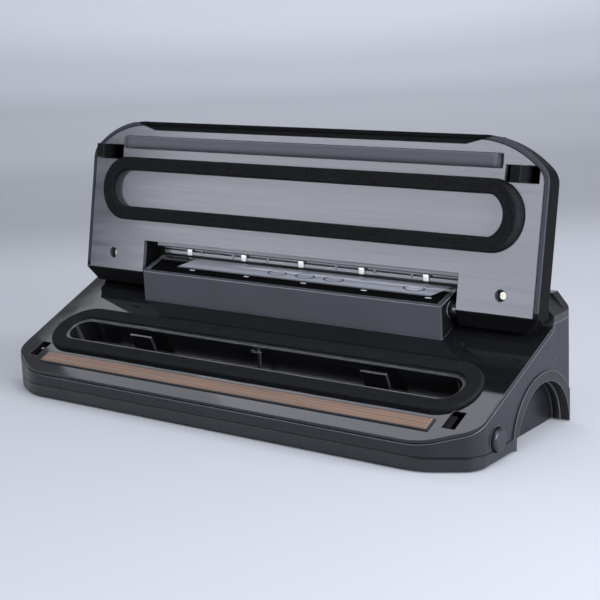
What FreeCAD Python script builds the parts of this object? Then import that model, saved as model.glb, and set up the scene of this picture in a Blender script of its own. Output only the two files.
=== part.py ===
"""Countertop vacuum sealer with its lid open.

The base stands on the plane z = 0, x runs to the right, y to the rear and z up, and the origin is the
middle of the footprint. Two tilted frames carry most pieces: the deck frame starts at the deck's front
edge and lies in the sloping deck, the lid frame starts at the hinge edge of the lid's inner face, with
y up the open lid and z out of that face.
"""
import FreeCAD, Part
import os
import re

import Sketcher

X_AXIS = FreeCAD.Vector(1, 0, 0)
Y_AXIS = FreeCAD.Vector(0, 1, 0)
NEAR = 1e-4

# Driving sizes, in millimetres and degrees
SIZES = (
    # base
    ("unit_width", "392"),
    ("unit_depth", "135.2"),
    ("foot_height", "0.6"),
    ("nose_height", "19.5"),
    ("deck_slope", "23.14"),
    ("base_corner_x", "31"),
    ("base_corner_y", "17.5"),
    ("rear_radius", "3"),
    ("inner_radius", "0.8"),
    ("wall", "2.4"),
    ("seam", "0.3"),
    ("seat", "0.1"),
    ("parting_height", "9.2"),
    ("floor_thickness", "2.4"),
    ("bottom_round", "2"),
    # deck
    ("deck_thickness", "1.6"),
    ("deck_body", "2.4"),
    ("deck_inset", "0.3"),
    ("deck_groove", "0.8"),
    # ridge and rail behind the lid
    ("ridge_depth", "22.8"),
    ("ridge_rise", "25.5"),
    ("ridge_round", "1"),
    ("shelf_rise", "1.9"),
    ("ridge_end_rise", "5"),
    ("ridge_end_inset", "22"),
    ("rail_depth", "7.2"),
    ("rail_drop", "8"),
    ("rail_end_inset", "9"),
    ("apron_depth", "6"),
    ("clip_pitch", "51.6"),
    ("clip_width", "4.3"),
    ("clip_height", "4.4"),
    ("clip_proud", "1"),
    ("clip_drop", "0.1"),
    # hand-grip niches in the ends
    ("niche_back", "38.2"),
    ("niche_z", "0.8"),
    ("niche_radius", "34.4"),
    ("niche_depth", "11.5"),
    ("niche_wall", "1.4"),
    ("niche_rib", "0.9"),
    ("niche_rib_width", "1.8"),
    ("niche_rib_inset", "5.5"),
    ("ring_width", "6.5"),
    ("ring_proud", "1"),
    # vacuum trough and its foam ring
    ("gasket_inset", "16"),
    ("gasket_v", "50.8"),
    ("gasket_half", "24"),
    ("gasket_band", "10.5"),
    ("gasket_proud", "2.5"),
    ("gasket_seat", "1"),
    ("tray_gap", "1"),
    ("tray_wall", "1.6"),
    ("tray_depth", "20"),
    ("tray_rim", "1"),
    ("tray_lip", "0.6"),
    ("tray_step", "0.8"),
    ("stop_offset", "100.7"),
    ("stop_width", "20"),
    ("stop_thickness", "1.6"),
    ("stop_rise", "0.2"),
    ("stop_back", "3.2"),
    ("inlet_offset", "8.9"),
    ("inlet_radius", "1.5"),
    ("inlet_bore", "0.8"),
    ("inlet_drop", "3"),
    ("inlet_tail", "8"),
    ("port_pitch", "5.6"),
    ("port_radius", "1.1"),
    ("port_height", "1"),
    # heat-sealing strip
    ("seal_v", "16.05"),
    ("seal_inset", "31"),
    ("bar_width", "11"),
    ("bar_proud", "0.9"),
    ("bar_depth", "8"),
    ("wire_pitch", "4.8"),
    ("wire_width", "2.2"),
    ("wire_thickness", "0.15"),
    ("tape_width", "9.9"),
    ("tape_inset", "1"),
    ("tape_thickness", "0.15"),
    # control box
    ("box_inset", "66.5"),
    ("box_front", "25.7"),
    ("box_rear_gap", "2.4"),
    ("box_wall", "2.2"),
    ("box_round", "1"),
    ("panel_drop", "0.3"),
    ("panel_thickness", "1.2"),
    ("panel_margin", "4"),
    ("panel_slope", "18.6"),
    ("board_thickness", "1.6"),
    # lid
    ("lid_side_inset", "1.5"),
    ("lid_overhang", "0.2"),
    ("lid_corner_x", "26"),
    ("lid_corner_y", "22.5"),
    ("lid_slope", "35"),
    ("lid_taper", "5"),
    ("lid_thickness", "15"),
    ("liner_thickness", "3"),
    ("liner_round", "0.4"),
    ("lip_width", "3"),
    ("lip_round", "1"),
    ("lid_wall", "2.4"),
    ("lid_round", "1.3"),
    ("lid_heel", "6"),
    ("heel_drop", "2.5"),
    ("notch_gap", "6.5"),
    ("notch_depth", "23.5"),
    ("grip_inset", "61"),
    ("grip_slant", "24"),
    ("grip_depth", "6.7"),
    ("grip_fall", "4"),
    ("lid_gasket_inset", "16"),
    ("lid_gasket_half", "23.3"),
    ("lid_gasket_band", "9.5"),
    ("lid_gasket_proud", "6"),
    ("strip_inset", "5.5"),
    ("strip_width", "8.8"),
    ("strip_proud", "4.2"),
    ("strip_seat", "1.4"),
    ("strip_round", "3"),
    ("strip_margin", "2"),
    ("lid_screw_inset", "27.3"),
    ("lid_screw_w", "12.1"),
    ("screw_head", "2.3"),
    ("screw_head_height", "1"),
    ("screw_sink", "2.4"),
    ("cup_wall", "1.2"),
    ("screw_shank", "1.3"),
    ("screw_hole", "3.9"),
    ("screw_boss", "3.5"),
    # hinge
    ("closed_gap", "6"),
    ("hinge_depth", "5.9"),
    ("hinge_edge", "0.2"),
    ("hinge_back", "13.4"),
    ("rest_gap", "0.4"),
    ("pin_radius", "2.5"),
    ("pin_grip", "16"),
    ("pin_reach", "24"),
    ("running_gap", "0.05"),
    ("hinge_boss", "5.4"),
    ("knuckle_radius", "9.8"),
    ("knuckle_slant", "9"),
    ("knuckle_fall", "7"),
    # latch
    ("slot_inset", "14.9"),
    ("slot_width", "9.2"),
    ("slot_v", "23.7"),
    ("slot_length", "16"),
    ("window_inset", "6.8"),
    ("window_width", "24"),
    ("window_length", "10.9"),
    ("hook_gap", "0.9"),
    ("hook_thickness", "2.9"),
    ("hook_length", "11.5"),
    ("hook_width", "10.3"),
    ("nose", "3.8"),
    ("nose_thickness", "1.7"),
    ("catch_thickness", "1.6"),
    ("catch_overlap", "2.6"),
    ("hook_root", "6.2"),
    ("hook_pad", "2.4"),
    ("latch_web", "2.4"),
    ("latch_length", "11"),
    ("button_y", "38.5"),
    ("button_z", "15"),
    ("button_radius", "7.25"),
    ("button_gap", "0.85"),
    ("button_proud", "3"),
    ("button_depth", "9"),
    ("button_round", "1.8"),
    ("button_travel", "3"),
    ("stem_radius", "4"),
    ("spring_radius", "4.2"),
    ("spring_wire", "0.45"),
    ("spring_length", "11"),
    ("spring_turns", "6"),
    # screws and feet
    ("boss_radius", "3.5"),
    ("boss_height", "5"),
    ("boss_merge", "0.6"),
    ("base_screw_inner", "70"),
    ("base_screw_outer", "140"),
    ("foot_radius", "7"),
    ("foot_recess", "1"),
    ("foot_front", "22"),
    ("foot_rear", "14"),
    ("foot_inset", "38"),
    # pump, supply and control inside the base
    ("pump_x", "40"),
    ("pump_back", "34.6"),
    ("pump_z", "22"),
    ("motor_radius", "14"),
    ("motor_length", "40"),
    ("motor_wall", "1.6"),
    ("shaft_radius", "1.5"),
    ("core_radius", "9"),
    ("cradle_width", "24"),
    ("cradle_height", "9"),
    ("head_length", "26"),
    ("head_half", "14"),
    ("head_height", "38"),
    ("chamber_radius", "8"),
    ("crank_radius", "4"),
    ("crank_throw", "2"),
    ("nipple_radius", "1.95"),
    ("nipple_length", "9"),
    ("hose_radius", "3.2"),
    ("bend_share", "0.6"),
    ("hose_start", "5"),
    ("board_x", "-70"),
    ("board_length", "95"),
    ("board_depth", "50"),
    ("board_back", "9.5"),
    ("board_lift", "4.5"),
    ("post_radius", "2.5"),
    ("supply_inset", "41"),
    ("supply_width", "44"),
    ("supply_depth", "34"),
    ("supply_height", "34"),
    ("supply_back", "14"),
    ("coil_overhang", "5"),
    ("coil_margin", "7"),
    ("socket_inset", "86"),
    ("socket_width", "24"),
    ("socket_height", "15"),
    ("socket_depth", "17"),
    ("socket_z", "24"),
    ("socket_pitch", "8.6"),
    ("socket_lobe", "4.4"),
    ("socket_hollow", "11"),
    ("contact_radius", "1.2"),
)

# Places worked out from the driving sizes
PLACES = (
    ("half_width", "unit_width / 2"),
    ("front_y", "-unit_depth / 2"),
    ("rear_y", "unit_depth / 2"),
    ("base_turn", "atan(base_corner_y / base_corner_x) / 1 deg"),
    ("base_end_tan", "tan(base_turn / 2)"),
    ("base_side_tan", "tan(45 - base_turn / 2)"),
    ("base_slant", "sqrt(base_corner_x ^ 2 + base_corner_y ^ 2)"),
    ("base_end_arc", "0.3 * base_slant / base_end_tan"),
    ("base_side_arc", "0.25 * base_slant / base_side_tan"),
    ("lid_corner_turn", "atan(lid_corner_y / lid_corner_x) / 1 deg"),
    ("lid_end_tan", "tan(lid_corner_turn / 2)"),
    ("lid_side_tan", "tan(45 - lid_corner_turn / 2)"),
    ("lid_slant", "sqrt(lid_corner_x ^ 2 + lid_corner_y ^ 2)"),
    ("lid_end_arc", "0.76 * lid_slant / lid_end_tan"),
    ("lid_side_arc", "0.18 * lid_slant / lid_side_tan"),
    ("slope_sin", "sin(deck_slope)"),
    ("slope_cos", "cos(deck_slope)"),
    ("slope_tan", "tan(deck_slope)"),
    ("floor_top", "foot_height + floor_thickness"),
    ("deck_drop", "deck_thickness + deck_groove"),
    ("deck_under", "deck_thickness + deck_body"),
    ("ridge_y", "rear_y - ridge_depth"),
    ("rail_y", "rear_y - rail_depth"),
    ("deck_rear_z", "nose_height + (ridge_y - front_y) * slope_tan"),
    ("shelf_z", "deck_rear_z + shelf_rise"),
    ("ridge_z", "deck_rear_z + ridge_rise"),
    ("rail_z", "ridge_z - rail_drop"),
    ("hinge_h", "closed_gap + hinge_depth"),
    ("hinge_y", "ridge_y - hinge_back"),
    ("hinge_v", "(hinge_y - front_y + hinge_h * slope_sin) / slope_cos"),
    ("hinge_z", "nose_height + hinge_v * slope_sin + hinge_h * slope_cos"),
    ("close_sum", "hinge_v - hinge_edge"),
    ("lid_length", "close_sum + lid_overhang"),
    ("lid_half", "half_width - lid_side_inset"),
    ("rest_reach", "sqrt(hinge_back ^ 2 + (ridge_z - hinge_z) ^ 2)"),
    ("rest_rise", "atan((ridge_z - hinge_z) / hinge_back) / 1 deg"),
    ("lid_lean", "acos((lid_thickness - hinge_depth + rest_gap) / rest_reach) / 1 deg - rest_rise"),
    ("lid_turn", "90 - lid_lean"),
    ("lid_y", "hinge_y + hinge_edge * cos(lid_turn) - hinge_depth * sin(lid_turn)"),
    ("lid_z", "hinge_z + hinge_edge * sin(lid_turn) + hinge_depth * cos(lid_turn)"),
    ("niche_y", "rear_y - niche_back"),
    ("niche_outer", "niche_radius + niche_wall"),
    ("niche_floor", "half_width - niche_depth"),
    ("gasket_reach", "half_width - gasket_inset"),
    ("tray_half", "gasket_half - gasket_band - tray_gap"),
    ("tray_reach", "gasket_reach - gasket_band - tray_gap"),
    ("inlet_v", "gasket_v + inlet_offset"),
    ("inlet_y", "front_y + inlet_v * slope_cos + inlet_drop * slope_sin"),
    ("inlet_top", "nose_height + inlet_v * slope_sin - inlet_drop * slope_cos"),
    ("inlet_floor", "nose_height + (inlet_y - front_y) * slope_tan - tray_depth / slope_cos"),
    ("bar_half", "half_width - seal_inset"),
    ("wire_top", "bar_proud + wire_thickness"),
    ("box_half", "half_width - box_inset"),
    ("box_y", "ridge_y - box_front"),
    ("box_rear_y", "ridge_y - box_rear_gap"),
    ("panel_h", "closed_gap + lid_thickness - panel_drop"),
    ("panel_z", "nose_height + (box_y - front_y) * slope_tan + panel_h / slope_cos"),
    ("panel_tan", "tan(panel_slope)"),
    ("panel_cos", "cos(panel_slope)"),
    ("notch_half", "box_half + notch_gap"),
    ("grip_half", "lid_half - grip_inset"),
    ("strip_half", "bar_half - strip_inset"),
    ("strip_w", "close_sum - seal_v"),
    ("lid_gasket_w", "close_sum - gasket_v"),
    ("lid_gasket_reach", "half_width - lid_gasket_inset"),
    ("screw_x", "lid_half - lid_screw_inset"),
    ("slot_outer", "half_width - slot_inset"),
    ("slot_inner", "slot_outer - slot_width"),
    ("hook_outer", "slot_outer - hook_gap"),
    ("hook_inner", "hook_outer - hook_thickness"),
    ("hook_w", "close_sum - slot_v"),
    ("window_outer", "lid_half - window_inset"),
    ("nose_inner", "hook_inner - nose"),
    ("nose_top", "closed_gap - hook_length + nose_thickness"),
    ("catch_low", "nose_top + seam"),
    ("catch_top", "catch_low + catch_thickness"),
    ("web_outer", "nose_inner - seam"),
    ("web_inner", "web_outer - latch_web"),
    ("press_y", "front_y + button_y"),
    ("spring_seat", "web_inner - spring_length"),
    ("boss_inset", "wall + boss_radius - boss_merge"),
    ("pump_y", "rear_y - pump_back"),
    ("motor_end", "pump_x + motor_length"),
    ("head_end", "motor_end + seat + head_length"),
    ("hose_y", "inlet_y"),
    ("hose_z", "inlet_floor - inlet_tail / 2"),
    ("hose_x", "motor_end + head_length / 2"),
    ("hose_run", "pump_y - head_half - seam - hose_y"),
    ("hose_bend", "hose_run * bend_share"),
    ("board_z", "floor_top + board_lift"),
    ("supply_rear", "rear_y - supply_back"),
    ("supply_x", "supply_inset - half_width"),
    ("socket_x", "half_width - socket_inset"),
)

doc = FreeCAD.newDocument("vacuum_sealer")
owner = {}


def sheet(name, rows, lead):
    """Spreadsheet with one named cell per row; lead goes before each cell's text."""
    page = doc.addObject("Spreadsheet::Sheet", name)
    for line, (alias, text) in enumerate(rows, 1):
        page.set(f"A{line}", alias)
        page.set(f"B{line}", lead + formula(text))
        page.setAlias(f"B{line}", alias)
        owner[alias] = name + "."
    doc.recompute()
    return page


def formula(text):
    """Expression with the owning sheet put before each named size."""
    return re.sub(r"[a-z][a-z_]*", lambda word: owner.get(word.group(), "") + word.group(), text)


sizes = sheet("Sizes", SIZES, "")
places = sheet("Places", PLACES, "=")


def number(text):
    """Value of an expression at the present sizes."""
    return float(sizes.evalExpression(formula(text)))


def bind(piece, name, text):
    """Tie one property of a piece to an expression."""
    piece.setExpression(name, formula(text))


# Frames: y and z of the start, and the turn about x
FRAMES = {
    "upright": ("0", "0", "0"),
    "deck": ("front_y", "nose_height", "deck_slope"),
    "panel": ("box_y", "panel_z", "panel_slope"),
    "lid": ("lid_y", "lid_z", "lid_turn"),
}


def settle(piece, frame, point, turned=True):
    """Put a piece's own origin at a point of a frame, turned with the frame unless it is round about x."""
    start_y, start_z, turn = FRAMES[frame]
    x, y, z = point
    bind(piece, "Placement.Base.x", x)
    if frame == "upright":
        bind(piece, "Placement.Base.y", y)
        bind(piece, "Placement.Base.z", z)
        return
    if turned:
        piece.Placement = FreeCAD.Placement(FreeCAD.Vector(), FreeCAD.Rotation(X_AXIS, 45))
        bind(piece, "Placement.Rotation.Angle", turn)
    bind(piece, "Placement.Base.y", f"{start_y} + ({y}) * cos({turn}) - ({z}) * sin({turn})")
    bind(piece, "Placement.Base.z", f"{start_z} + ({y}) * sin({turn}) + ({z}) * cos({turn})")


def deck_y(v, rise):
    """Upright y of the deck-frame point (v, rise)."""
    return f"(front_y + ({v}) * slope_cos - ({rise}) * slope_sin)"


def deck_z(v, rise):
    """Upright z of the deck-frame point (v, rise)."""
    return f"(nose_height + ({v}) * slope_sin + ({rise}) * slope_cos)"


def over_deck(y, rise):
    """Upright z, above upright y, of the plane that lies rise above the deck."""
    return f"(nose_height + (({y}) - front_y) * slope_tan + ({rise}) / slope_cos)"


def under_panel(y, drop):
    """Upright z, above upright y, of the plane that lies drop below the control box's top."""
    return f"(panel_z + (({y}) - box_y) * panel_tan - ({drop}) / panel_cos)"


def across(side, inner, outer):
    """Low and high x of a stretch between two distances from the middle, on one side."""
    if side == "right":
        return inner, outer
    return f"-({outer})", f"-({inner})"


def box(label, frame, xs, ys, zs):
    """Box between three pairs of coordinates in a frame."""
    piece = doc.addObject("Part::Box", label)
    for name, (low, high) in zip(("Length", "Width", "Height"), (xs, ys, zs)):
        bind(piece, name, f"({high}) - ({low})")
    settle(piece, frame, (xs[0], ys[0], zs[0]))
    return piece


def rod(label, frame, along, span, centre, radius):
    """Cylinder along one axis of a frame over a span, with its centre in the other two axes."""
    piece = doc.addObject("Part::Cylinder", label)
    bind(piece, "Radius", radius)
    bind(piece, "Height", f"({span[1]}) - ({span[0]})")
    if along == "x":
        piece.Placement = FreeCAD.Placement(FreeCAD.Vector(), FreeCAD.Rotation(Y_AXIS, 90))
        settle(piece, frame, (span[0], centre[0], centre[1]), turned=False)
    elif along == "y":
        piece.Placement = FreeCAD.Placement(FreeCAD.Vector(), FreeCAD.Rotation(X_AXIS, -90))
        settle(piece, frame, (centre[0], span[0], centre[1]), turned=False)
    else:
        settle(piece, frame, (centre[0], centre[1], span[0]))
    return piece


def sketch_on(body, plane_role):
    """Empty sketch on one of a body's own origin planes."""
    sketch = body.newObject("Sketcher::SketchObject", body.Label + "_sketch")
    plane = [feature for feature in body.Origin.OriginFeatures if feature.Role == plane_role][0]
    sketch.AttachmentSupport = (plane, [""])
    sketch.MapMode = "FlatFace"
    return sketch


def pin_point(sketch, geometry, point, place):
    """Fix a sketch point by expressions for its two coordinates."""
    for kind, text in zip(("DistanceX", "DistanceY"), place):
        fixed = sketch.addConstraint(Sketcher.Constraint(kind, -1, 1, geometry, point, number(text)))
        sketch.setExpression(f"Constraints[{fixed}]", formula(text))


def draw_polygon(sketch, corners):
    """Closed polygon whose corners are pairs of expressions."""
    spots = [FreeCAD.Vector(number(across_text), number(up_text), 0) for across_text, up_text in corners]
    count = len(spots)
    for index in range(count):
        sketch.addGeometry(Part.LineSegment(spots[index], spots[(index + 1) % count]), False)
    for index in range(count):
        sketch.addConstraint(Sketcher.Constraint("Coincident", index, 2, (index + 1) % count, 1))
    for index in range(count):
        pin_point(sketch, index, 1, corners[index])


def draw_stadium(sketch, half_length, half_height):
    """Slot outline about the sketch origin: two level lines joined by two half circles."""
    reach = f"({half_length}) - ({half_height})"
    middle, radius = number(reach), number(half_height)
    up = FreeCAD.Vector(0, 0, 1)
    quarter = 1.5707963267948966
    for side in (1, -1):
        sketch.addGeometry(
            Part.LineSegment(FreeCAD.Vector(-side * middle, side * radius, 0),
                             FreeCAD.Vector(side * middle, side * radius, 0)), False)
    for side, start in ((1, -quarter), (-1, quarter)):
        circle = Part.Circle(FreeCAD.Vector(side * middle, 0, 0), up, radius)
        sketch.addGeometry(Part.ArcOfCircle(circle, start, start + 2 * quarter), False)
    top, bottom, right, left = range(4)
    for line, line_point, arc, arc_point in ((top, 2, right, 2), (bottom, 1, right, 1),
                                             (top, 1, left, 1), (bottom, 2, left, 2)):
        sketch.addConstraint(Sketcher.Constraint("Coincident", line, line_point, arc, arc_point))
    for arc, place in ((right, reach), (left, f"-({reach})")):
        pin_point(sketch, arc, 3, (place, "0"))
        fixed = sketch.addConstraint(Sketcher.Constraint("Radius", arc, radius))
        sketch.setExpression(f"Constraints[{fixed}]", formula(half_height))
        for end in (1, 2):
            sketch.addConstraint(Sketcher.Constraint("Vertical", arc, 3, arc, end))


def pad(body, sketch, depth):
    """Pad of a sketch along its body's positive axis."""
    feature = body.newObject("PartDesign::Pad", body.Label + "_pad")
    feature.Profile = sketch
    bind(feature, "Length", depth)
    return feature


def round_off(body, radius, chosen):
    """Fillet the edges of a body's last feature that a test picks, in the body's own coordinates."""
    doc.recompute()
    last = body.Tip
    names = [f"Edge{index}" for index, edge in enumerate(last.Shape.Edges, 1) if chosen(edge)]
    feature = body.newObject("PartDesign::Fillet", body.Label + "_round")
    feature.Base = (last, names)
    bind(feature, "Radius", radius)
    doc.recompute()


def ends_of(edge):
    """End points of an edge."""
    return [vertex.Point for vertex in edge.Vertexes]


def level_edge(axis, text):
    """Test for edges whose ends all lie at one coordinate along an axis."""
    place = number(text)
    return lambda edge: all(abs(point[axis] - place) < NEAR for point in ends_of(edge))


def both(first, second):
    """Test for edges that pass two tests."""
    return lambda edge: first(edge) and second(edge)


def either(*tests):
    """Test for edges that pass any of several tests."""
    return lambda edge: any(test(edge) for test in tests)


def prism(label, frame, plane, corners, span):
    """Polygon on a frame's plane, carried along the plane's normal over a span."""
    body = doc.addObject("PartDesign::Body", label)
    sketch = sketch_on(body, plane + "_Plane")
    draw_polygon(sketch, corners)
    feature = pad(body, sketch, f"({span[1]}) - ({span[0]})")
    feature.Reversed = plane == "XZ"
    starts = {"XY": ("0", "0", span[0]), "XZ": ("0", span[0], "0"), "YZ": (span[0], "0", "0")}
    settle(body, frame, starts[plane])
    return body


def upright_at(spots):
    """Test for upright edges that stand on any of several corners."""
    places_of = [(number(x), number(y)) for x, y in spots]

    def test(edge):
        points = ends_of(edge)
        if abs(points[0].z - points[-1].z) < NEAR:
            return False
        return any(abs(point.x - x) < NEAR and abs(point.y - y) < NEAR
                   for x, y in places_of for point in points)
    return test


def plate(label, kind, frame, inset, ys, zs, square_radius=None):
    """Plate with the plan shape of the base or the lid, drawn in by an inset; ys starts at the round end.

    Each corner of the round end is a slanted edge, run into the end by a wide arc and into the side by a
    tighter one. The corners of the square end may have a radius of their own.
    """
    half = {"base": "half_width", "lid": "lid_half"}[kind] + f" - ({inset})"
    inward = "+" if number(ys[0]) < number(ys[1]) else "-"
    leg_x = f"({kind}_corner_x - ({inset}) * (1 - {kind}_end_tan))"
    leg_y = f"({kind}_corner_y - ({inset}) * (1 - {kind}_side_tan))"
    turn_y = f"{ys[0]} {inward} {leg_y}"
    corners = [(f"-({half}) + {leg_x}", ys[0]), (f"{half} - {leg_x}", ys[0]), (half, turn_y), (half, ys[1]),
               (f"-({half})", ys[1]), (f"-({half})", turn_y)]
    body = prism(label, frame, "XY", corners, zs)
    round_off(body, f"{kind}_end_arc - ({inset})", upright_at(corners[:2]))
    round_off(body, f"{kind}_side_arc - ({inset})", upright_at((corners[2], corners[5])))
    if square_radius:
        round_off(body, square_radius, upright_at(corners[3:5]))
    return body


def stadium(label, frame, middle, half_length, half_height, zs):
    """Upright slot-shaped block about x = 0 and y = middle."""
    body = doc.addObject("PartDesign::Body", label)
    sketch = sketch_on(body, "XY_Plane")
    draw_stadium(sketch, half_length, half_height)
    pad(body, sketch, f"({zs[1]}) - ({zs[0]})")
    settle(body, frame, ("0", middle, zs[0]))
    return body


def fuse(label, *pieces):
    """Union of pieces."""
    piece = doc.addObject("Part::MultiFuse", label)
    piece.Shapes = list(pieces)
    return piece


def cut(label, base, *tools):
    """Base with tools taken out of it."""
    piece = doc.addObject("Part::Cut", label)
    piece.Base = base
    piece.Tool = tools[0] if len(tools) == 1 else fuse(label + "_tools", *tools)
    return piece


def common(label, first, second):
    """What two pieces share."""
    piece = doc.addObject("Part::Common", label)
    piece.Base = first
    piece.Tool = second
    return piece


nodes = []


def node(piece):
    """Hand a finished sub-part over for writing."""
    nodes.append(piece)
    return piece


SIDES = ("left", "right")
SPOTS = [(side, row) for side in SIDES for row in ("front", "rear")]


def mirrored(side, distance):
    """x at a distance from the middle, on one side."""
    return distance if side == "right" else f"-({distance})"


# Arch and button holes, which pass through both base shells
def arch_hole(label, side):
    start = "niche_floor - niche_wall - seam"
    return rod(label, "upright", "x", across(side, start, "half_width + ring_proud + wall"),
               ("niche_y", "niche_z"), "niche_outer + seam")


def button_hole(label, side):
    return rod(label, "upright", "x", across(side, "half_width - button_depth * 2", "half_width + wall"),
               ("press_y", "button_z"), "button_radius + button_gap")


SCREW_SPOTS = [(mirrored(side, distance), row) for side in SIDES
               for distance in ("base_screw_inner", "base_screw_outer")
               for row in ("front_y + boss_inset", "rear_y - boss_inset")]


def screw_rods(label, span, radius):
    """One upright rod at each base screw."""
    return [rod(f"{label}_{index}", "upright", "z", span, spot, radius)
            for index, spot in enumerate(SCREW_SPOTS)]


# Lower shell: floor, low wall, screw posts, latch guides, spring seats and board posts
shell_outer = plate("shell_outer", "base", "upright", "0", ("front_y", "rear_y"),
                    ("foot_height", "parting_height"), "rear_radius")
round_off(shell_outer, "bottom_round", level_edge(2, "0"))
shell_inner = plate("shell_inner", "base", "upright", "wall", ("front_y + wall", "rear_y - wall"),
                    ("floor_top", "parting_height + wall"), "inner_radius")
shell_fixtures = screw_rods("shell_post", ("floor_top - wall / 2", "parting_height"), "boss_radius")
web_front = deck_y("slot_v - latch_length / 2", "catch_top")
web_rear = "press_y + stem_radius + latch_web"
for side in SIDES:
    guide_x = across(side, "web_inner - button_travel", "web_outer")
    for name, low in (("front", f"{web_front} - seam - latch_web"), ("rear", f"{web_rear} + seam")):
        shell_fixtures.append(
            box(f"latch_guide_{side}_{name}", "upright", guide_x, (low, f"{low} + latch_web"),
                ("floor_top - wall / 2", "floor_top + stem_radius")))
    shell_fixtures.append(
        box(f"spring_post_{side}", "upright", across(side, "spring_seat - latch_web", "spring_seat"),
            ("press_y - spring_radius - seam", "press_y + stem_radius - seam"),
            ("floor_top - wall / 2", "button_z + stem_radius / 2")))
board_spots = [(f"board_x + {x}", f"rear_y - board_back - {y}")
               for x in ("post_radius * 2", "board_length - post_radius * 2")
               for y in ("post_radius * 2", "board_depth - post_radius * 2")]
for index, spot in enumerate(board_spots):
    shell_fixtures.append(
        rod(f"board_post_{index}", "upright", "z", ("floor_top - wall / 2", "board_z - seat"), spot,
            "post_radius"))
shell_cuts = screw_rods("shell_bore", ("0", "parting_height + wall"), "screw_shank + seam")
shell_cuts += screw_rods("shell_sink", ("0", "foot_height + screw_head_height + seam"), "screw_head + seam")
foot_spots = [(mirrored(side, "half_width - foot_inset"),
               "front_y + foot_front" if row == "front" else "rear_y - foot_rear") for side, row in SPOTS]
for index, spot in enumerate(foot_spots):
    shell_cuts.append(rod(f"foot_sink_{index}", "upright", "z", ("0", "foot_height + foot_recess"), spot,
                          "foot_radius + seat"))
for side in SIDES:
    shell_cuts += [arch_hole(f"shell_arch_{side}", side), button_hole(f"shell_button_{side}", side)]
shell_tray = cut("shell_tray", shell_outer, shell_inner)
node(cut("base_bottom", fuse("shell_body", shell_tray, *shell_fixtures), *shell_cuts))

# Rubber feet, pressed into shallow sinks of the lower shell
node(fuse("feet", *[rod(f"foot_{index}", "upright", "z", ("0", "foot_height + foot_recess - seat"), spot,
                        "foot_radius") for index, spot in enumerate(foot_spots)]))

# Screws from below into the bosses of the upper shell
node(fuse("base_screws",
          *screw_rods("base_screw_head", ("foot_height + seat", "foot_height + screw_head_height + seat"),
                      "screw_head"),
          *screw_rods("base_screw_shank", ("foot_height + screw_head_height", "parting_height + boss_height"),
                      "screw_shank")))

# Upper shell: the wall all round, cut along the deck's slope, with a level shelf at the rear
wall_outer = plate("wall_outer", "base", "upright", "0", ("front_y", "rear_y"),
                   ("parting_height + seam", "shelf_z"), "rear_radius")
wall_side = prism("wall_side", "upright", "YZ", [
    ("front_y", "parting_height + seam"), ("front_y", over_deck("front_y", "-deck_drop")),
    ("ridge_y", over_deck("ridge_y", "-deck_drop")), ("ridge_y", "shelf_z"), ("rear_y", "shelf_z"),
    ("rear_y", "parting_height + seam")], ("-half_width", "half_width"))
wall_inner = plate("wall_inner", "base", "upright", "wall", ("front_y + wall", "rear_y - wall"),
                   ("0", "shelf_z + wall"), "inner_radius")
wall_ring = cut("wall_ring", common("wall_block", wall_outer, wall_side), wall_inner)
wall_bosses = screw_rods("wall_boss", ("parting_height + seam", "parting_height + seam + boss_height"),
                         "boss_radius")
wall_cuts = screw_rods("wall_bore", ("0", "parting_height + boss_height + seat"), "screw_shank + running_gap")
for side in SIDES:
    wall_cuts += [arch_hole(f"wall_arch_{side}", side), button_hole(f"wall_button_{side}", side)]
wall_cuts.append(box("socket_hole", "upright",
                     ("socket_x - socket_width / 2 - seat", "socket_x + socket_width / 2 + seat"),
                     ("rear_y - wall * 2", "rear_y + wall"),
                     ("socket_z - socket_height / 2 - seat", "socket_z + socket_height / 2 + seat")))
node(cut("base_housing", fuse("wall_body", wall_ring, *wall_bosses), *wall_cuts))

# Hand-grip niches: a half drum with a flat back, a rib inside and a raised ring round the arch
for side in SIDES:
    centre = ("niche_y", "niche_z")
    drum = fuse(f"niche_drum_{side}",
                rod(f"niche_skin_{side}", "upright", "x",
                    across(side, "niche_floor - niche_wall", "half_width + seat * 2"), centre, "niche_outer"),
                rod(f"niche_ring_{side}", "upright", "x",
                    across(side, "half_width + seat", "half_width + ring_proud"), centre,
                    "niche_radius + ring_width"))
    rib_start = "half_width - niche_rib_inset - niche_rib_width"
    hollow = fuse(f"niche_hollow_{side}",
                  rod(f"niche_deep_{side}", "upright", "x", across(side, "niche_floor", rib_start), centre,
                      "niche_radius"),
                  rod(f"niche_rib_{side}", "upright", "x", across(side, "niche_floor", "half_width"), centre,
                      "niche_radius - niche_rib"),
                  rod(f"niche_mouth_{side}", "upright", "x",
                      across(side, "half_width - niche_rib_inset", "half_width + ring_proud + wall"), centre,
                      "niche_radius"))
    trim = box(f"niche_trim_{side}", "upright", across(side, "0", "unit_width"),
               ("niche_y - niche_radius - ring_width * 2", "rear_y - rear_radius"),
               ("foot_height", "niche_z + niche_radius + ring_width * 2"))
    ring_foot = box(f"niche_foot_{side}", "upright",
                    across(side, "half_width", "half_width + ring_proud + wall"),
                    ("niche_y - niche_radius - ring_width * 2", "niche_y - niche_radius / 2"),
                    ("0", "parting_height"))
    node(common(f"niche_{side}", cut(f"niche_cup_{side}", drum, hollow, ring_foot), trim))

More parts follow.
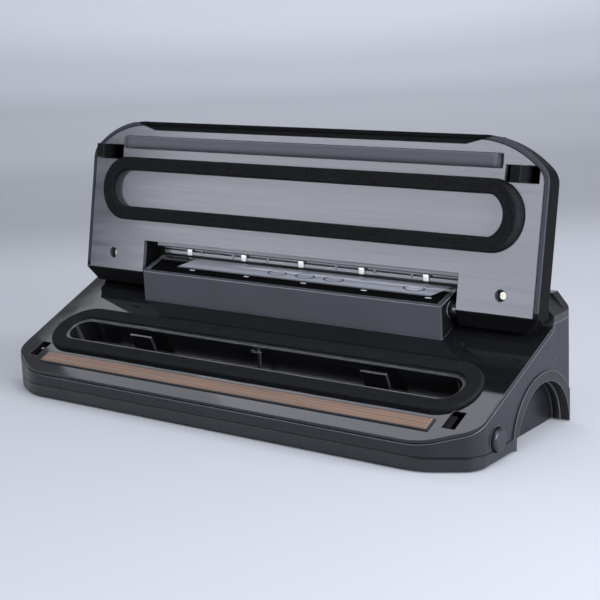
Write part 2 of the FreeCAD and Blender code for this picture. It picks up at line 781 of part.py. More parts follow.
# Deck: a thin rim over the wall's edge and a thicker body that drops inside the wall
deck_end = "ridge_y - seam"
rim_plan = plate("rim_plan", "base", "upright", "deck_inset", ("front_y + deck_inset", deck_end),
                 ("0", "ridge_z"))
rim_slab = box("rim_slab", "deck", ("-unit_width", "unit_width"), ("-unit_depth", "unit_depth * 2"),
               ("-deck_thickness", "0"))
body_plan = plate("body_plan", "base", "upright", "wall + seam", ("front_y + wall + seam", deck_end),
                  ("0", "ridge_z"))
body_slab = box("body_slab", "deck", ("-unit_width", "unit_width"), ("-unit_depth", "unit_depth * 2"),
                ("-deck_under", "-deck_thickness / 2"))
deck_blank = fuse("deck_blank", common("deck_rim", rim_plan, rim_slab),
                  common("deck_core", body_plan, body_slab))
deck_cuts = [
    stadium("tray_hole", "deck", "gasket_v", "tray_reach", "tray_half", ("-deck_under * 2", "wall")),
    cut("gasket_groove",
        stadium("groove_outer", "deck", "gasket_v", "gasket_reach + seat", "gasket_half + seat",
                ("-gasket_seat", "wall")),
        stadium("groove_inner", "deck", "gasket_v", "gasket_reach - gasket_band - seat",
                "gasket_half - gasket_band - seat", ("-gasket_seat * 2", "wall * 2"))),
    box("bar_slot", "deck", ("-bar_half - seam", "bar_half + seam"),
        ("seal_v - bar_width / 2 - seam", "seal_v + bar_width / 2 + seam"), ("-bar_depth", "wall")),
    box("wiring_hole", "deck", ("-box_half / 3", "box_half / 3"),
        ("hinge_v - stem_radius", "hinge_v + stem_radius"), ("-deck_under * 2", "wall")),
]
for side in SIDES:
    slot_y = ("slot_v - slot_length / 2", "slot_v + slot_length / 2")
    deck_cuts.append(box(f"latch_slot_{side}", "deck", across(side, "slot_inner", "slot_outer"), slot_y,
                         ("-deck_under * 2", "wall")))
    deck_cuts.append(box(f"latch_relief_{side}", "deck",
                         across(side, "web_inner - button_travel - seam * 2", "slot_outer + seam"),
                         (f"{slot_y[0]} - seam * 2", f"{slot_y[1]} + seam * 2"),
                         ("-deck_under * 2", "-deck_thickness")))
node(cut("deck_plate", deck_blank, *deck_cuts))

# Trough with a lip that rests on the deck, two bag stops on its floor and a hole for the air inlet
tray_tub = fuse("tray_tub",
                stadium("tray_wall_block", "deck", "gasket_v", "tray_reach - seam", "tray_half - seam",
                        ("-tray_depth", "seat * 2")),
                stadium("tray_lip_block", "deck", "gasket_v", "tray_reach + tray_lip", "tray_half + tray_lip",
                        ("seat", "tray_rim")))
tray_hollow = fuse("tray_room",
                   stadium("tray_hollow", "deck", "gasket_v", "tray_reach - seam - tray_wall",
                           "tray_half - seam - tray_wall", ("-tray_depth + tray_wall", "tray_rim + wall")),
                   stadium("tray_mouth", "deck", "gasket_v", "tray_reach - seam - tray_wall + tray_step",
                           "tray_half - seam - tray_wall + tray_step",
                           ("tray_rim - tray_step", "tray_rim + wall * 2")))
stops = [box(f"bag_stop_{side}", "deck",
             across(side, "stop_offset - stop_width / 2", "stop_offset + stop_width / 2"),
             ("gasket_v + stop_back - stop_thickness / 2", "gasket_v + stop_back + stop_thickness / 2"),
             ("-tray_depth + tray_wall / 2", "stop_rise")) for side in SIDES]
inlet_at = ("port_pitch / 2", "inlet_y")
inlet_hole = rod("inlet_hole", "upright", "z", ("inlet_floor - tray_depth", "inlet_floor + tray_depth / 2"),
                 inlet_at, "inlet_radius + running_gap")
node(cut("drip_tray", fuse("tray_body", cut("tray_cup", tray_tub, tray_hollow), *stops), inlet_hole))

# Suction port: a post through the trough's floor with two small mouths on top and a side nipple below
inlet_post = [
    rod("inlet_stem", "upright", "z", ("inlet_floor - inlet_tail", "inlet_top"), inlet_at, "inlet_radius"),
    box("inlet_bridge", "deck", ("-port_pitch / 2 - port_radius", "port_pitch / 2 + port_radius"),
        ("inlet_v - port_radius", "inlet_v + port_radius"), ("-inlet_drop - port_height", "-inlet_drop")),
    rod("inlet_nipple", "upright", "x", ("port_pitch / 2", "hose_start + nipple_length"),
        ("hose_y", "hose_z"), "nipple_radius"),
]
for side in SIDES:
    inlet_post.append(rod(f"inlet_port_{side}", "deck", "z", ("-inlet_drop - port_height / 2",
                                                              "-inlet_drop + port_height"),
                          (mirrored(side, "port_pitch / 2"), "inlet_v"), "port_radius"))
inlet_bore = rod("inlet_bore_cut", "upright", "z", ("hose_z", "inlet_top + port_height * 2"), inlet_at,
                 "inlet_bore")
node(cut("air_inlet", fuse("inlet_body", *inlet_post), inlet_bore))

# Foam ring round the trough
node(cut("lower_gasket",
         stadium("gasket_outline", "deck", "gasket_v", "gasket_reach", "gasket_half",
                 ("-gasket_seat + seat", "gasket_proud")),
         stadium("gasket_window", "deck", "gasket_v", "gasket_reach - gasket_band",
                 "gasket_half - gasket_band", ("-gasket_seat - wall", "gasket_proud + wall"))))

# Heat-sealing strip: carrier bar, two flat wires and the tape over them
node(box("seal_bar", "deck", ("-bar_half", "bar_half"), ("seal_v - bar_width / 2", "seal_v + bar_width / 2"),
         ("-bar_depth", "bar_proud")))
wire_lines = [f"seal_v {sign} wire_pitch / 2" for sign in "-+"]
node(fuse("heating_wires", *[
    box(f"heating_wire_{index}", "deck", ("-bar_half + tape_inset * 2", "bar_half - tape_inset * 2"),
        (f"{line} - wire_width / 2", f"{line} + wire_width / 2"), ("bar_proud", "wire_top"))
    for index, line in enumerate(wire_lines)]))
node(box("seal_tape", "deck", ("-bar_half + tape_inset", "bar_half - tape_inset"),
         ("seal_v - tape_width / 2", "seal_v + tape_width / 2"),
         ("wire_top", "wire_top + tape_thickness")))

# Control box: upright front, top less steep than the deck, hollow, with a boss for the hinge pin at each end
box_block = prism("box_block", "upright", "YZ", [
    ("box_y", over_deck("box_y", "seat")), ("box_y", "panel_z"),
    ("box_rear_y", under_panel("box_rear_y", "0")), ("box_rear_y", over_deck("box_rear_y", "seat"))],
    ("-box_half", "box_half"))
front_edge = level_edge(1, "box_y")
low_edge = both(front_edge, lambda edge: all(abs(point.z - number(over_deck("box_y", "seat"))) < NEAR
                                             for point in ends_of(edge)))
round_off(box_block, "box_round", lambda edge: front_edge(edge) and not low_edge(edge))
box_hollow = prism("box_hollow", "upright", "YZ", [
    ("box_y + box_wall", over_deck("box_y", "-deck_under")),
    ("box_y + box_wall", under_panel("box_y + box_wall", "box_wall")),
    ("box_rear_y - box_wall", under_panel("box_rear_y - box_wall", "box_wall")),
    ("box_rear_y - box_wall", over_deck("box_y", "-deck_under"))],
    ("-box_half + box_wall", "box_half - box_wall"))
panel_v = ("panel_margin / 2", "(box_rear_y - box_y) / panel_cos - panel_margin / 4")
panel_x = ("-box_half + panel_margin", "box_half - panel_margin")
panel_pocket = box("panel_pocket", "panel", (f"{panel_x[0]} - seat", f"{panel_x[1]} + seat"),
                   (f"{panel_v[0]} - seat", f"{panel_v[1]} + seat"), ("-panel_thickness", "wall"))
box_shell = cut("box_shell", box_block, box_hollow, panel_pocket)
hinge_axis = ("hinge_y", "hinge_z")
hinge_bosses = [rod(f"hinge_boss_{side}", "upright", "x",
                    across(side, "box_half - pin_grip", "notch_half - seam"), hinge_axis, "hinge_boss")
                for side in SIDES]
hinge_bores = [rod(f"hinge_bore_{side}", "upright", "x",
                   across(side, "box_half - pin_grip - wall", "notch_half"), hinge_axis,
                   "pin_radius + running_gap")
               for side in SIDES]
node(cut("control_housing", fuse("box_body", box_shell, *hinge_bosses), *hinge_bores))
node(box("control_panel", "panel", panel_x, panel_v, ("-panel_thickness + seat / 2", "0")))
node(box("panel_board", "panel", ("-box_half + pin_grip + wall * 2", "box_half - pin_grip - wall * 2"),
         (f"{panel_v[0]} + box_wall", f"{panel_v[1]} - box_wall * 2"),
         ("-box_wall - seam - board_thickness", "-box_wall - seam")))

# Steel hinge pins, held in the control box and running in the lid's knuckles
for side in SIDES:
    node(rod(f"hinge_pin_{side}", "upright", "x",
             across(side, "box_half - pin_grip", "notch_half + pin_reach"), hinge_axis, "pin_radius"))

# Ridge and rail behind the lid, hollow below, with an apron that closes the gap to the deck
ridge_block = prism("ridge_block", "upright", "XZ", [
    ("-half_width", "shelf_z + seam"), ("half_width", "shelf_z + seam"),
    ("half_width", "shelf_z + ridge_end_rise"), ("half_width - ridge_end_inset", "ridge_z"),
    ("-half_width + ridge_end_inset", "ridge_z"), ("-half_width", "shelf_z + ridge_end_rise")],
    ("ridge_y", "rear_y"))
round_off(ridge_block, "ridge_round", both(level_edge(1, "0"), level_edge(2, "ridge_z")))
rail_gap = box("rail_gap", "upright", ("-unit_width", "unit_width"), ("rail_y", "rear_y + wall"),
               ("rail_z", "ridge_z + wall"))
rail_block = prism("rail_block", "upright", "XZ", [
    ("-half_width", "shelf_z + seam"), ("half_width", "shelf_z + seam"),
    ("half_width", "shelf_z + ridge_end_rise"), ("half_width - rail_end_inset", "rail_z"),
    ("-half_width + rail_end_inset", "rail_z"), ("-half_width", "shelf_z + ridge_end_rise")],
    ("rail_y", "rear_y"))
cover_corners = [("half_width", "rear_y"), ("-half_width", "rear_y")]
cover_plan = prism("cover_plan", "upright", "XY",
                   [("-half_width", "ridge_y"), ("half_width", "ridge_y")] + cover_corners,
                   ("shelf_z", "ridge_z + wall"))
round_off(cover_plan, "rear_radius", upright_at(cover_corners))
cover_block = common("cover_block", fuse("cover_pair", cut("ridge_part", ridge_block, rail_gap), rail_block),
                     cover_plan)
ridge_hollow = prism("ridge_hollow", "upright", "XZ", [
    ("-half_width + wall", "deck_rear_z"), ("half_width - wall", "deck_rear_z"),
    ("half_width - wall", "shelf_z + ridge_end_rise - wall / 2"),
    ("half_width - ridge_end_inset - wall / 2", "ridge_z - wall"),
    ("-half_width + ridge_end_inset + wall / 2", "ridge_z - wall"),
    ("-half_width + wall", "shelf_z + ridge_end_rise - wall / 2")],
    ("ridge_y + wall", "rail_y - wall"))
rail_hollow = prism("rail_hollow", "upright", "XZ", [
    ("-half_width + wall", "deck_rear_z"), ("half_width - wall", "deck_rear_z"),
    ("half_width - wall", "shelf_z + ridge_end_rise - wall / 2"),
    ("half_width - rail_end_inset * 2", "rail_z - wall"),
    ("-half_width + rail_end_inset * 2", "rail_z - wall"),
    ("-half_width + wall", "shelf_z + ridge_end_rise - wall / 2")],
    ("ridge_y + wall", "rear_y - wall"))
apron = box("apron", "upright", ("-half_width + wall + seam", "half_width - wall - seam"),
            ("ridge_y", "ridge_y + wall"), ("deck_rear_z - apron_depth", "shelf_z + ridge_end_rise / 2"))
node(fuse("rear_cover", cut("cover_shell", cover_block, ridge_hollow, rail_hollow), apron))
clips = [box(f"cover_clip_{index}", "upright",
             (f"{index - 2} * clip_pitch - clip_width / 2", f"{index - 2} * clip_pitch + clip_width / 2"),
             ("ridge_y - clip_proud", "ridge_y"),
             ("ridge_z - ridge_round - clip_drop - clip_height", "ridge_z - ridge_round - clip_drop"))
         for index in range(5)]
node(fuse("cover_clips", *clips))

# Lid shell: a tray that opens towards the liner, notched round the control box
shell_span = ("-lid_thickness", "-liner_thickness - seam")
lid_profile = prism("lid_profile", "lid", "YZ", [
    ("0", "-liner_thickness - seam"), ("-heel_drop", "-liner_thickness - seam - heel_drop"),
    ("-heel_drop", "-lid_thickness + lid_heel"), ("lid_heel", "-lid_thickness"),
    ("lid_length - lid_slope", "-lid_thickness"), ("lid_length", "-lid_thickness + lid_taper"),
    ("lid_length", "-liner_thickness - seam")], ("-lid_half", "lid_half"))
lid_plan = plate("lid_plan", "lid", "lid", "0", ("lid_length", "-lid_heel"), shell_span)
hinge_side = level_edge(1, "-lid_heel")
back_edge = level_edge(2, "0")
round_off(lid_plan, "lid_round", lambda edge: back_edge(edge) and not hinge_side(edge))
lid_block = common("lid_block", lid_plan, lid_profile)
cavity_plan = plate("cavity_plan", "lid", "lid", "lid_wall", ("lid_length - lid_wall", "lid_heel"),
                    ("-lid_thickness + lid_wall", "0"))
cavity_profile = prism("cavity_profile", "lid", "YZ", [
    ("lid_heel", "0"), ("lid_heel", "-lid_thickness + lid_wall"),
    ("lid_length - lid_slope", "-lid_thickness + lid_wall"),
    ("lid_length", "-lid_thickness + lid_wall + lid_taper"), ("lid_length", "0")], ("-lid_half", "lid_half"))
lid_cavity = common("lid_cavity", cavity_plan, cavity_profile)
notch_wall = box("notch_wall", "lid", ("-notch_half - lid_wall", "notch_half + lid_wall"),
                 ("-lid_heel", "notch_depth + lid_wall"), ("-lid_thickness * 2", "lid_thickness"))
lid_tray = cut("lid_tray", lid_block, cut("lid_hollow", lid_cavity, notch_wall))
grip_low = "lid_length - grip_depth"
grip_shelf = prism("grip_shelf", "lid", "YZ", [
    (f"{grip_low} - lid_wall", "-liner_thickness - seam"), (grip_low, "-liner_thickness - seam"),
    ("lid_length - lid_wall / 2", "-liner_thickness - seam - grip_fall"),
    ("lid_length - lid_wall / 2", "-lid_thickness + lid_taper + lid_wall / 2"),
    (f"{grip_low} - lid_wall", "-lid_thickness + lid_taper + lid_wall / 2")],
    ("-grip_half - grip_slant", "grip_half + grip_slant"))
grip_cut = prism("grip_cut", "lid", "YZ", [
    (grip_low, "-liner_thickness - seam"), ("lid_length + wall", "-liner_thickness - seam - grip_fall * 1.3"),
    ("lid_length + wall", "wall"), (grip_low, "wall")],
    ("-grip_half - grip_slant / 2", "grip_half + grip_slant / 2"))
lip_span = "liner_thickness + seam + seat"
lip_blank = plate("lip_blank", "lid", "lid", "0", ("lid_length", "0"), (f"-({lip_span})", "0"))
lip_edge = level_edge(2, lip_span)
hinge_edge_line = level_edge(1, "0")
round_off(lip_blank, "lip_round", lambda edge: lip_edge(edge) and not hinge_edge_line(edge))
lip_window = plate("lip_window", "lid", "lid", "lip_width", ("lid_length - lip_width", "-wall"),
                   ("-liner_thickness * 2", "wall"))
finger_gap = prism("finger_gap", "lid", "XY", [
    ("-grip_half - grip_slant", "lid_length"), ("-grip_half", grip_low), ("grip_half", grip_low),
    ("grip_half + grip_slant", "lid_length"), ("grip_half + grip_slant", "lid_length + wall"),
    ("-grip_half - grip_slant", "lid_length + wall")], ("-liner_thickness * 2", "liner_thickness"))
lid_bits = [grip_shelf, cut("lid_lip", lip_blank, lip_window, finger_gap)]
lid_notch = box("lid_notch", "lid", ("-notch_half", "notch_half"), ("-lid_thickness", "notch_depth"),
                ("-lid_thickness * 2", "lid_thickness"))
lid_cuts = [grip_cut, lid_notch]
for side in SIDES:
    barrel = rod(f"barrel_{side}", "upright", "x", across(side, "notch_half", "lid_half"), hinge_axis,
                 "knuckle_radius")
    barrel_room = prism(f"barrel_room_{side}", "lid", "XY", [
        ("-lid_half + knuckle_slant", "-knuckle_radius - hinge_edge"),
        ("lid_half - knuckle_slant", "-knuckle_radius - hinge_edge"),
        ("lid_half", "-hinge_edge"), ("lid_half", "lid_heel"), ("-lid_half", "lid_heel"),
        ("-lid_half", "-hinge_edge")], ("-lid_thickness * 2", "-seam"))
    liner_room = box(f"liner_room_{side}", "lid", ("-unit_width", "unit_width"), ("-seam", "lid_length"),
                     ("-liner_thickness - seam", "wall"))
    bevel_low = "-knuckle_radius - hinge_edge - wall"
    bevel = prism(f"knuckle_bevel_{side}", "lid", "YZ", [
        ("-seam", "0"), (bevel_low, "-knuckle_fall"), (bevel_low, "0")], ("-unit_width", "unit_width"))
    lid_bits.append(cut(f"knuckle_{side}", common(f"knuckle_blank_{side}", barrel, barrel_room), liner_room,
                        bevel))
    lid_bits.append(box(f"hook_seat_{side}", "lid", across(side, "hook_inner - seam", "hook_outer + seam"),
                        ("hook_w - hook_width / 2 - seam", "hook_w + hook_width / 2 + seam"),
                        ("-liner_thickness - seam - hook_root - hook_pad",
                         "-liner_thickness - seam - hook_root - seat")))
    screw_at = (mirrored(side, "screw_x"), "lid_screw_w")
    lid_bits.append(rod(f"lid_boss_{side}", "lid", "z",
                        ("-lid_thickness + lid_wall / 2", "-liner_thickness - seam - screw_sink"), screw_at,
                        "screw_boss"))
    lid_cuts.append(rod(f"cup_room_{side}", "lid", "z", ("-liner_thickness - seam - screw_sink", "wall"),
                        screw_at, "screw_hole + cup_wall + seam"))
    lid_cuts.append(rod(f"lid_bore_{side}", "lid", "z", ("-lid_thickness + lid_wall", "wall"), screw_at,
                        "screw_shank + running_gap"))
    lid_cuts.append(rod(f"pin_bore_{side}", "upright", "x",
                        across(side, "notch_half - wall", "notch_half + pin_reach + seam"), hinge_axis,
                        "pin_radius + running_gap"))
node(cut("lid_outer", fuse("lid_body", lid_tray, *lid_bits), *lid_cuts))

# Inner plate of the lid, with its notch, finger cut, grooves, hook windows and cups for the screw heads
liner_blank = plate("liner_blank", "lid", "lid", "lip_width + seam", ("lid_length - lip_width - seam", "0"),
                    ("-liner_thickness", "0"))
face_edge = level_edge(2, "liner_thickness")
round_off(liner_blank, "liner_round", lambda edge: face_edge(edge) and not hinge_edge_line(edge))
through = ("-liner_thickness * 2", "liner_thickness")
liner_cuts = [
    box("liner_notch", "lid", ("-notch_half", "notch_half"), ("-wall", "notch_depth"), through),
    finger_gap,
    cut("liner_groove",
        stadium("liner_groove_outer", "lid", "lid_gasket_w", "lid_gasket_reach + seat",
                "lid_gasket_half + seat", ("-gasket_seat", "wall")),
        stadium("liner_groove_inner", "lid", "lid_gasket_w", "lid_gasket_reach - lid_gasket_band - seat",
                "lid_gasket_half - lid_gasket_band - seat", ("-gasket_seat * 2", "wall * 2"))),
    box("strip_groove", "lid", ("-strip_half - strip_margin", "strip_half + strip_margin"),
        ("strip_w - strip_width / 2 - seam", "strip_w + strip_width / 2 + seam"), ("-strip_seat", "wall")),
]
head_seat = "-liner_thickness - screw_sink + screw_head_height / 2"
screw_cups = []
for side in SIDES:
    screw_at = (mirrored(side, "screw_x"), "lid_screw_w")
    screw_cups.append(rod(f"screw_cup_{side}", "lid", "z",
                          ("-liner_thickness - screw_sink", "-liner_thickness / 2"), screw_at,
                          "screw_hole + cup_wall"))
    liner_cuts.append(rod(f"liner_sink_{side}", "lid", "z", (head_seat, "wall"), screw_at, "screw_hole"))
    liner_cuts.append(rod(f"liner_hole_{side}", "lid", "z", through, screw_at, "screw_shank + seam"))
    liner_cuts.append(box(f"hook_window_{side}", "lid",
                          across(side, "window_outer - window_width", "window_outer"),
                          ("hook_w - window_length / 2", "hook_w + window_length / 2"), through))
node(cut("lid_liner", fuse("liner_body", liner_blank, *screw_cups), *liner_cuts))

# Brass screws that hold the liner to the shell
lid_screws = []
for side in SIDES:
    screw_at = (mirrored(side, "screw_x"), "lid_screw_w")
    lid_screws.append(rod(f"lid_screw_head_{side}", "lid", "z",
                          (f"{head_seat} + seat / 2", f"{head_seat} + seat / 2 + screw_head_height"),
                          screw_at, "screw_head"))
    lid_screws.append(rod(f"lid_screw_shank_{side}", "lid", "z",
                          ("-lid_thickness + lid_wall + seam", f"{head_seat} + seat"), screw_at,
                          "screw_shank"))
screw_slots = []
for side in SIDES:
    for turn, (half_x, half_y) in enumerate((("screw_head * 0.7", "screw_head * 0.15"),
                                             ("screw_head * 0.15", "screw_head * 0.7"))):
        middle = mirrored(side, "screw_x")
        screw_slots.append(box(f"lid_screw_cross_{side}_{turn}", "lid",
                               (f"{middle} - {half_x}", f"{middle} + {half_x}"),
                               (f"lid_screw_w - {half_y}", f"lid_screw_w + {half_y}"),
                               (f"{head_seat} + screw_head_height / 2", "wall")))
node(cut("lid_screws", fuse("lid_screw_blanks", *lid_screws), *screw_slots))

# Foam ring and pressure strip of the lid
node(cut("lid_gasket",
         stadium("lid_gasket_outline", "lid", "lid_gasket_w", "lid_gasket_reach", "lid_gasket_half",
                 ("-gasket_seat + seat", "lid_gasket_proud")),
         stadium("lid_gasket_window", "lid", "lid_gasket_w", "lid_gasket_reach - lid_gasket_band",
                 "lid_gasket_half - lid_gasket_band", ("-gasket_seat - wall", "lid_gasket_proud + wall"))))
strip_body = prism("silicone_strip", "lid", "XY", [
    ("-strip_half", "strip_w - strip_width / 2"), ("strip_half", "strip_w - strip_width / 2"),
    ("strip_half", "strip_w + strip_width / 2"), ("-strip_half", "strip_w + strip_width / 2")],
    ("-strip_seat + seat", "strip_proud"))
strip_top = level_edge(2, "strip_proud + strip_seat - seat")
round_off(strip_body, "strip_round", both(strip_top, either(level_edge(1, "strip_w - strip_width / 2"),
                                                            level_edge(1, "strip_w + strip_width / 2"))))
node(strip_body)

# Latch at each end: hook on the lid, sliding catch with its button, and the spring that returns them
for side in SIDES:
    hook = [
        box(f"hook_stem_{side}", "lid", across(side, "hook_inner", "hook_outer"),
            ("hook_w - hook_width / 2", "hook_w + hook_width / 2"),
            ("-liner_thickness - seam - hook_root", "hook_length")),
        box(f"hook_nose_{side}", "lid", across(side, "nose_inner", "hook_inner"),
            ("hook_w - hook_width / 2", "hook_w + hook_width / 2"),
            ("hook_length - nose_thickness", "hook_length")),
    ]
    node(fuse(f"hook_{side}", *hook))
    catch_v = ("slot_v - latch_length / 2", "slot_v + latch_length / 2")
    web = prism(f"latch_web_{side}", "upright", "YZ", [
        (web_front, deck_z(catch_v[0], "catch_top")),
        (deck_y(catch_v[1], "catch_top"), deck_z(catch_v[1], "catch_top")),
        (web_rear, "button_z + stem_radius"), (web_rear, "floor_top + seam"),
        (web_front, "floor_top + seam")], across(side, "web_inner", "web_outer"))
    lip = box(f"latch_lip_{side}", "deck", across(side, "web_inner", "nose_inner + catch_overlap"), catch_v,
              ("catch_low", "catch_top"))
    node(fuse(f"latch_{side}", web, lip))
    press = ("press_y", "button_z")
    head = rod(f"button_head_{side}", "upright", "x",
               across(side, "half_width + button_proud - button_depth", "half_width + button_proud"), press,
               "button_radius")
    doc.recompute()
    dome = doc.addObject("Part::Fillet", f"button_dome_{side}")
    dome.Base = head
    rim_x = number(mirrored(side, "half_width + button_proud"))
    dome.Edges = [(index, number("button_round"), number("button_round"))
                  for index, edge in enumerate(head.Shape.Edges, 1)
                  if len(edge.Vertexes) == 1 and abs(edge.Vertexes[0].X - rim_x) < NEAR]
    stem = rod(f"button_stem_{side}", "upright", "x",
               across(side, "web_outer + seat", "half_width + button_proud - button_depth / 2"), press,
               "stem_radius")
    node(fuse(f"release_button_{side}", dome, stem))


def spring(label, side):
    """Round wire wound along x between its seat on the floor post and the sliding catch."""
    wire = number("spring_wire")
    start, end = sorted(number(text) for text in across(side, "spring_seat + seat", "web_inner - seat"))
    height = end - start - 2 * wire
    radius = number("spring_radius") - wire
    helix = Part.makeHelix(height / number("spring_turns"), height, radius)
    ring = Part.Wire([Part.makeCircle(wire, FreeCAD.Vector(radius, 0, 0), Y_AXIS)])
    piece = doc.addObject("Part::Feature", label)
    piece.Shape = Part.Wire(helix.Edges).makePipeShell([ring], True, True)
    piece.Placement = FreeCAD.Placement(FreeCAD.Vector(start + wire, number("press_y"), number("button_z")),
                                        FreeCAD.Rotation(Y_AXIS, 90))
    return piece


for side in SIDES:
    node(spring(f"latch_spring_{side}", side))

# Vacuum pump: hollow motor can, rotor with its crank, pump head and the cradle under the can
pump_axis = ("pump_y", "pump_z")
motor_blank = rod("motor_blank", "upright", "x", ("pump_x", "motor_end"), pump_axis, "motor_radius")
motor_hollow = rod("motor_hollow", "upright", "x", ("pump_x + motor_wall", "motor_end - motor_wall"),
                   pump_axis, "motor_radius - motor_wall")
motor_bore = rod("motor_bore", "upright", "x", ("pump_x - wall", "motor_end + wall"), pump_axis,
                 "shaft_radius + running_gap")
node(cut("pump_motor", motor_blank, motor_hollow, motor_bore))
crank_x = ("motor_end + seat + wall * 2", "head_end - wall * 2")
node(fuse("motor_rotor",
          rod("rotor_shaft", "upright", "x", ("pump_x", crank_x[1]), pump_axis, "shaft_radius"),
          rod("rotor_core", "upright", "x", ("pump_x + motor_wall * 3", "motor_end - motor_wall * 3"),
              pump_axis, "core_radius"),
          rod("rotor_crank", "upright", "x", crank_x, ("pump_y", "pump_z + crank_throw"), "crank_radius")))
head_blank = box("head_blank", "upright", ("motor_end + seat", "head_end"),
                 ("pump_y - head_half", "pump_y + head_half"),
                 ("floor_top + seat", "floor_top + head_height"))
head_nipple = rod("head_nipple", "upright", "y",
                  ("pump_y - head_half - hose_run + hose_bend", "pump_y - head_half + wall"),
                  ("hose_x", "hose_z"), "nipple_radius")
head_chamber = rod("head_chamber", "upright", "x", ("motor_end + seat + wall", "head_end - wall"), pump_axis,
                   "chamber_radius")
head_bore = rod("head_bore", "upright", "x", ("motor_end - wall", "motor_end + wall * 2"), pump_axis,
                "shaft_radius + running_gap")
node(cut("pump_head", fuse("head_body", head_blank, head_nipple), head_chamber, head_bore))
cradle_blank = box("cradle_blank", "upright", ("pump_x + motor_wall * 2", "motor_end - motor_wall * 2"),
                   ("pump_y - cradle_width / 2", "pump_y + cradle_width / 2"),
                   ("floor_top + seat", "floor_top + cradle_height"))
cradle_room = rod("cradle_room", "upright", "x", ("pump_x - wall", "motor_end + wall"), pump_axis,
                  "motor_radius + seat")
node(cut("pump_bracket", cradle_blank, cradle_room))


def hose(label):
    """Rubber hose: one straight run, one arc and a short run onto the pump's nipple, with its bore."""
    y, z, bend = number("hose_y"), number("hose_z"), number("hose_bend")
    start, turn_x = number("hose_start"), number("hose_x")
    end_y = number("pump_y - head_half - seam")
    corner = FreeCAD.Vector(turn_x, y, z)
    into = FreeCAD.Vector(turn_x - bend, y, z)
    out = FreeCAD.Vector(turn_x, y + bend, z)
    middle = corner + FreeCAD.Vector(-bend, bend, 0) * (1 - 0.5 ** 0.5)
    path = Part.Wire([Part.LineSegment(FreeCAD.Vector(start, y, z), into).toShape(),
                      Part.Arc(into, middle, out).toShape(),
                      Part.LineSegment(out, FreeCAD.Vector(turn_x, end_y, z)).toShape()])
    tubes = [path.makePipeShell([Part.Wire([Part.makeCircle(radius, FreeCAD.Vector(start, y, z), X_AXIS)])],
                                True, False)
             for radius in (number("hose_radius"), number("nipple_radius + running_gap"))]
    piece = doc.addObject("Part::Feature", label)
    piece.Shape = tubes[0].cut(tubes[1])
    return piece


node(hose("suction_hose"))

# Transformer: laminated core with the coil standing out at front and rear
core = box("supply_core", "upright", ("supply_x", "supply_x + supply_width"),
           ("supply_rear - supply_depth + coil_overhang", "supply_rear - coil_overhang"),
           ("floor_top + seat", "floor_top + supply_height"))
coil = box("supply_coil", "upright", ("supply_x + coil_margin", "supply_x + supply_width - coil_margin"),
           ("supply_rear - supply_depth", "supply_rear"),
           ("floor_top + coil_margin", "floor_top + supply_height - coil_margin"))
node(fuse("transformer", core, coil))

# Main circuit board on its four posts
node(box("main_board", "upright", ("board_x", "board_x + board_length"),
         ("rear_y - board_back - board_depth", "rear_y - board_back"),
         ("board_z", "board_z + board_thickness")))

# Mains socket in the rear wall: a two-lobed hollow with two contacts
socket_block = box("socket_block", "upright", ("socket_x - socket_width / 2", "socket_x + socket_width / 2"),
                   ("rear_y - socket_depth", "rear_y - seat"),
                   ("socket_z - socket_height / 2", "socket_z + socket_height / 2"))
lobes = [rod(f"socket_lobe_{sign}", "upright", "y", ("rear_y - socket_hollow", "rear_y + wall"),
             (f"socket_x + {sign} * socket_pitch / 2", "socket_z"), "socket_lobe") for sign in (-1, 1)]
bridge = box("socket_bridge", "upright", ("socket_x - socket_pitch / 2", "socket_x + socket_pitch / 2"),
             ("rear_y - socket_hollow", "rear_y + wall"),
             ("socket_z - socket_lobe * 0.8", "socket_z + socket_lobe * 0.8"))
contacts = [rod(f"socket_contact_{sign}", "upright", "y", ("rear_y - socket_hollow - wall", "rear_y - wall"),
                (f"socket_x + {sign} * socket_pitch / 2", "socket_z"), "contact_radius") for sign in (-1, 1)]
node(fuse("power_inlet", cut("socket_shell", socket_block, *lobes, bridge), *contacts))

doc.recompute()
for piece in doc.Objects:
    if {"Invalid", "Error"} & set(piece.State):
        raise RuntimeError(f"{piece.Label} failed: {piece.State}")
for piece in nodes:
    if piece.Shape.isNull() or not piece.Shape.isValid() or not piece.Shape.Solids:
        raise RuntimeError(f"{piece.Label} has no valid shape")
os.makedirs("parts", exist_ok=True)
for piece in nodes:
    piece.Shape.exportStep(f"parts/{piece.Label}.step")
print(len(nodes), "sub-parts written")
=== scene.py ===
import math

import bpy
import numpy as np
from mathutils import Matrix, Vector


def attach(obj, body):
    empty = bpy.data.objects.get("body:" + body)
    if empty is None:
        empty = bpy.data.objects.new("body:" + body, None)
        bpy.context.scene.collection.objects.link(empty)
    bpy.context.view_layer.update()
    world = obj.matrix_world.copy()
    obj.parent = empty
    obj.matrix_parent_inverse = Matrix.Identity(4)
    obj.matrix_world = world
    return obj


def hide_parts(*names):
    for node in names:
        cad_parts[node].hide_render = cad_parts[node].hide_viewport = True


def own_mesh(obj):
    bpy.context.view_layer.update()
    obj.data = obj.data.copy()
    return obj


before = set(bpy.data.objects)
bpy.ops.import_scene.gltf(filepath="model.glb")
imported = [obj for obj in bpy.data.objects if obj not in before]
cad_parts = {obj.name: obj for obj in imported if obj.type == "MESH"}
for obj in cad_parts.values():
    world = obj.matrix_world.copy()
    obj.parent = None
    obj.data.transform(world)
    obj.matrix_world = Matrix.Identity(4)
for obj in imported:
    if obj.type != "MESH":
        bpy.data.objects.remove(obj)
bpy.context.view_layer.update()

# Viewpoint: a short telephoto view from the front right, a little above the hinge, tilted slightly
# as a hand-held product picture is.
LENS_MM = 87.29
SENSOR_MM = 36.0
CAMERA_AT = np.array((0.60585, -0.75398, 0.29799))
YAW = math.radians(37.33)
PITCH = math.radians(13.11)
ROLL = math.radians(-2.62)
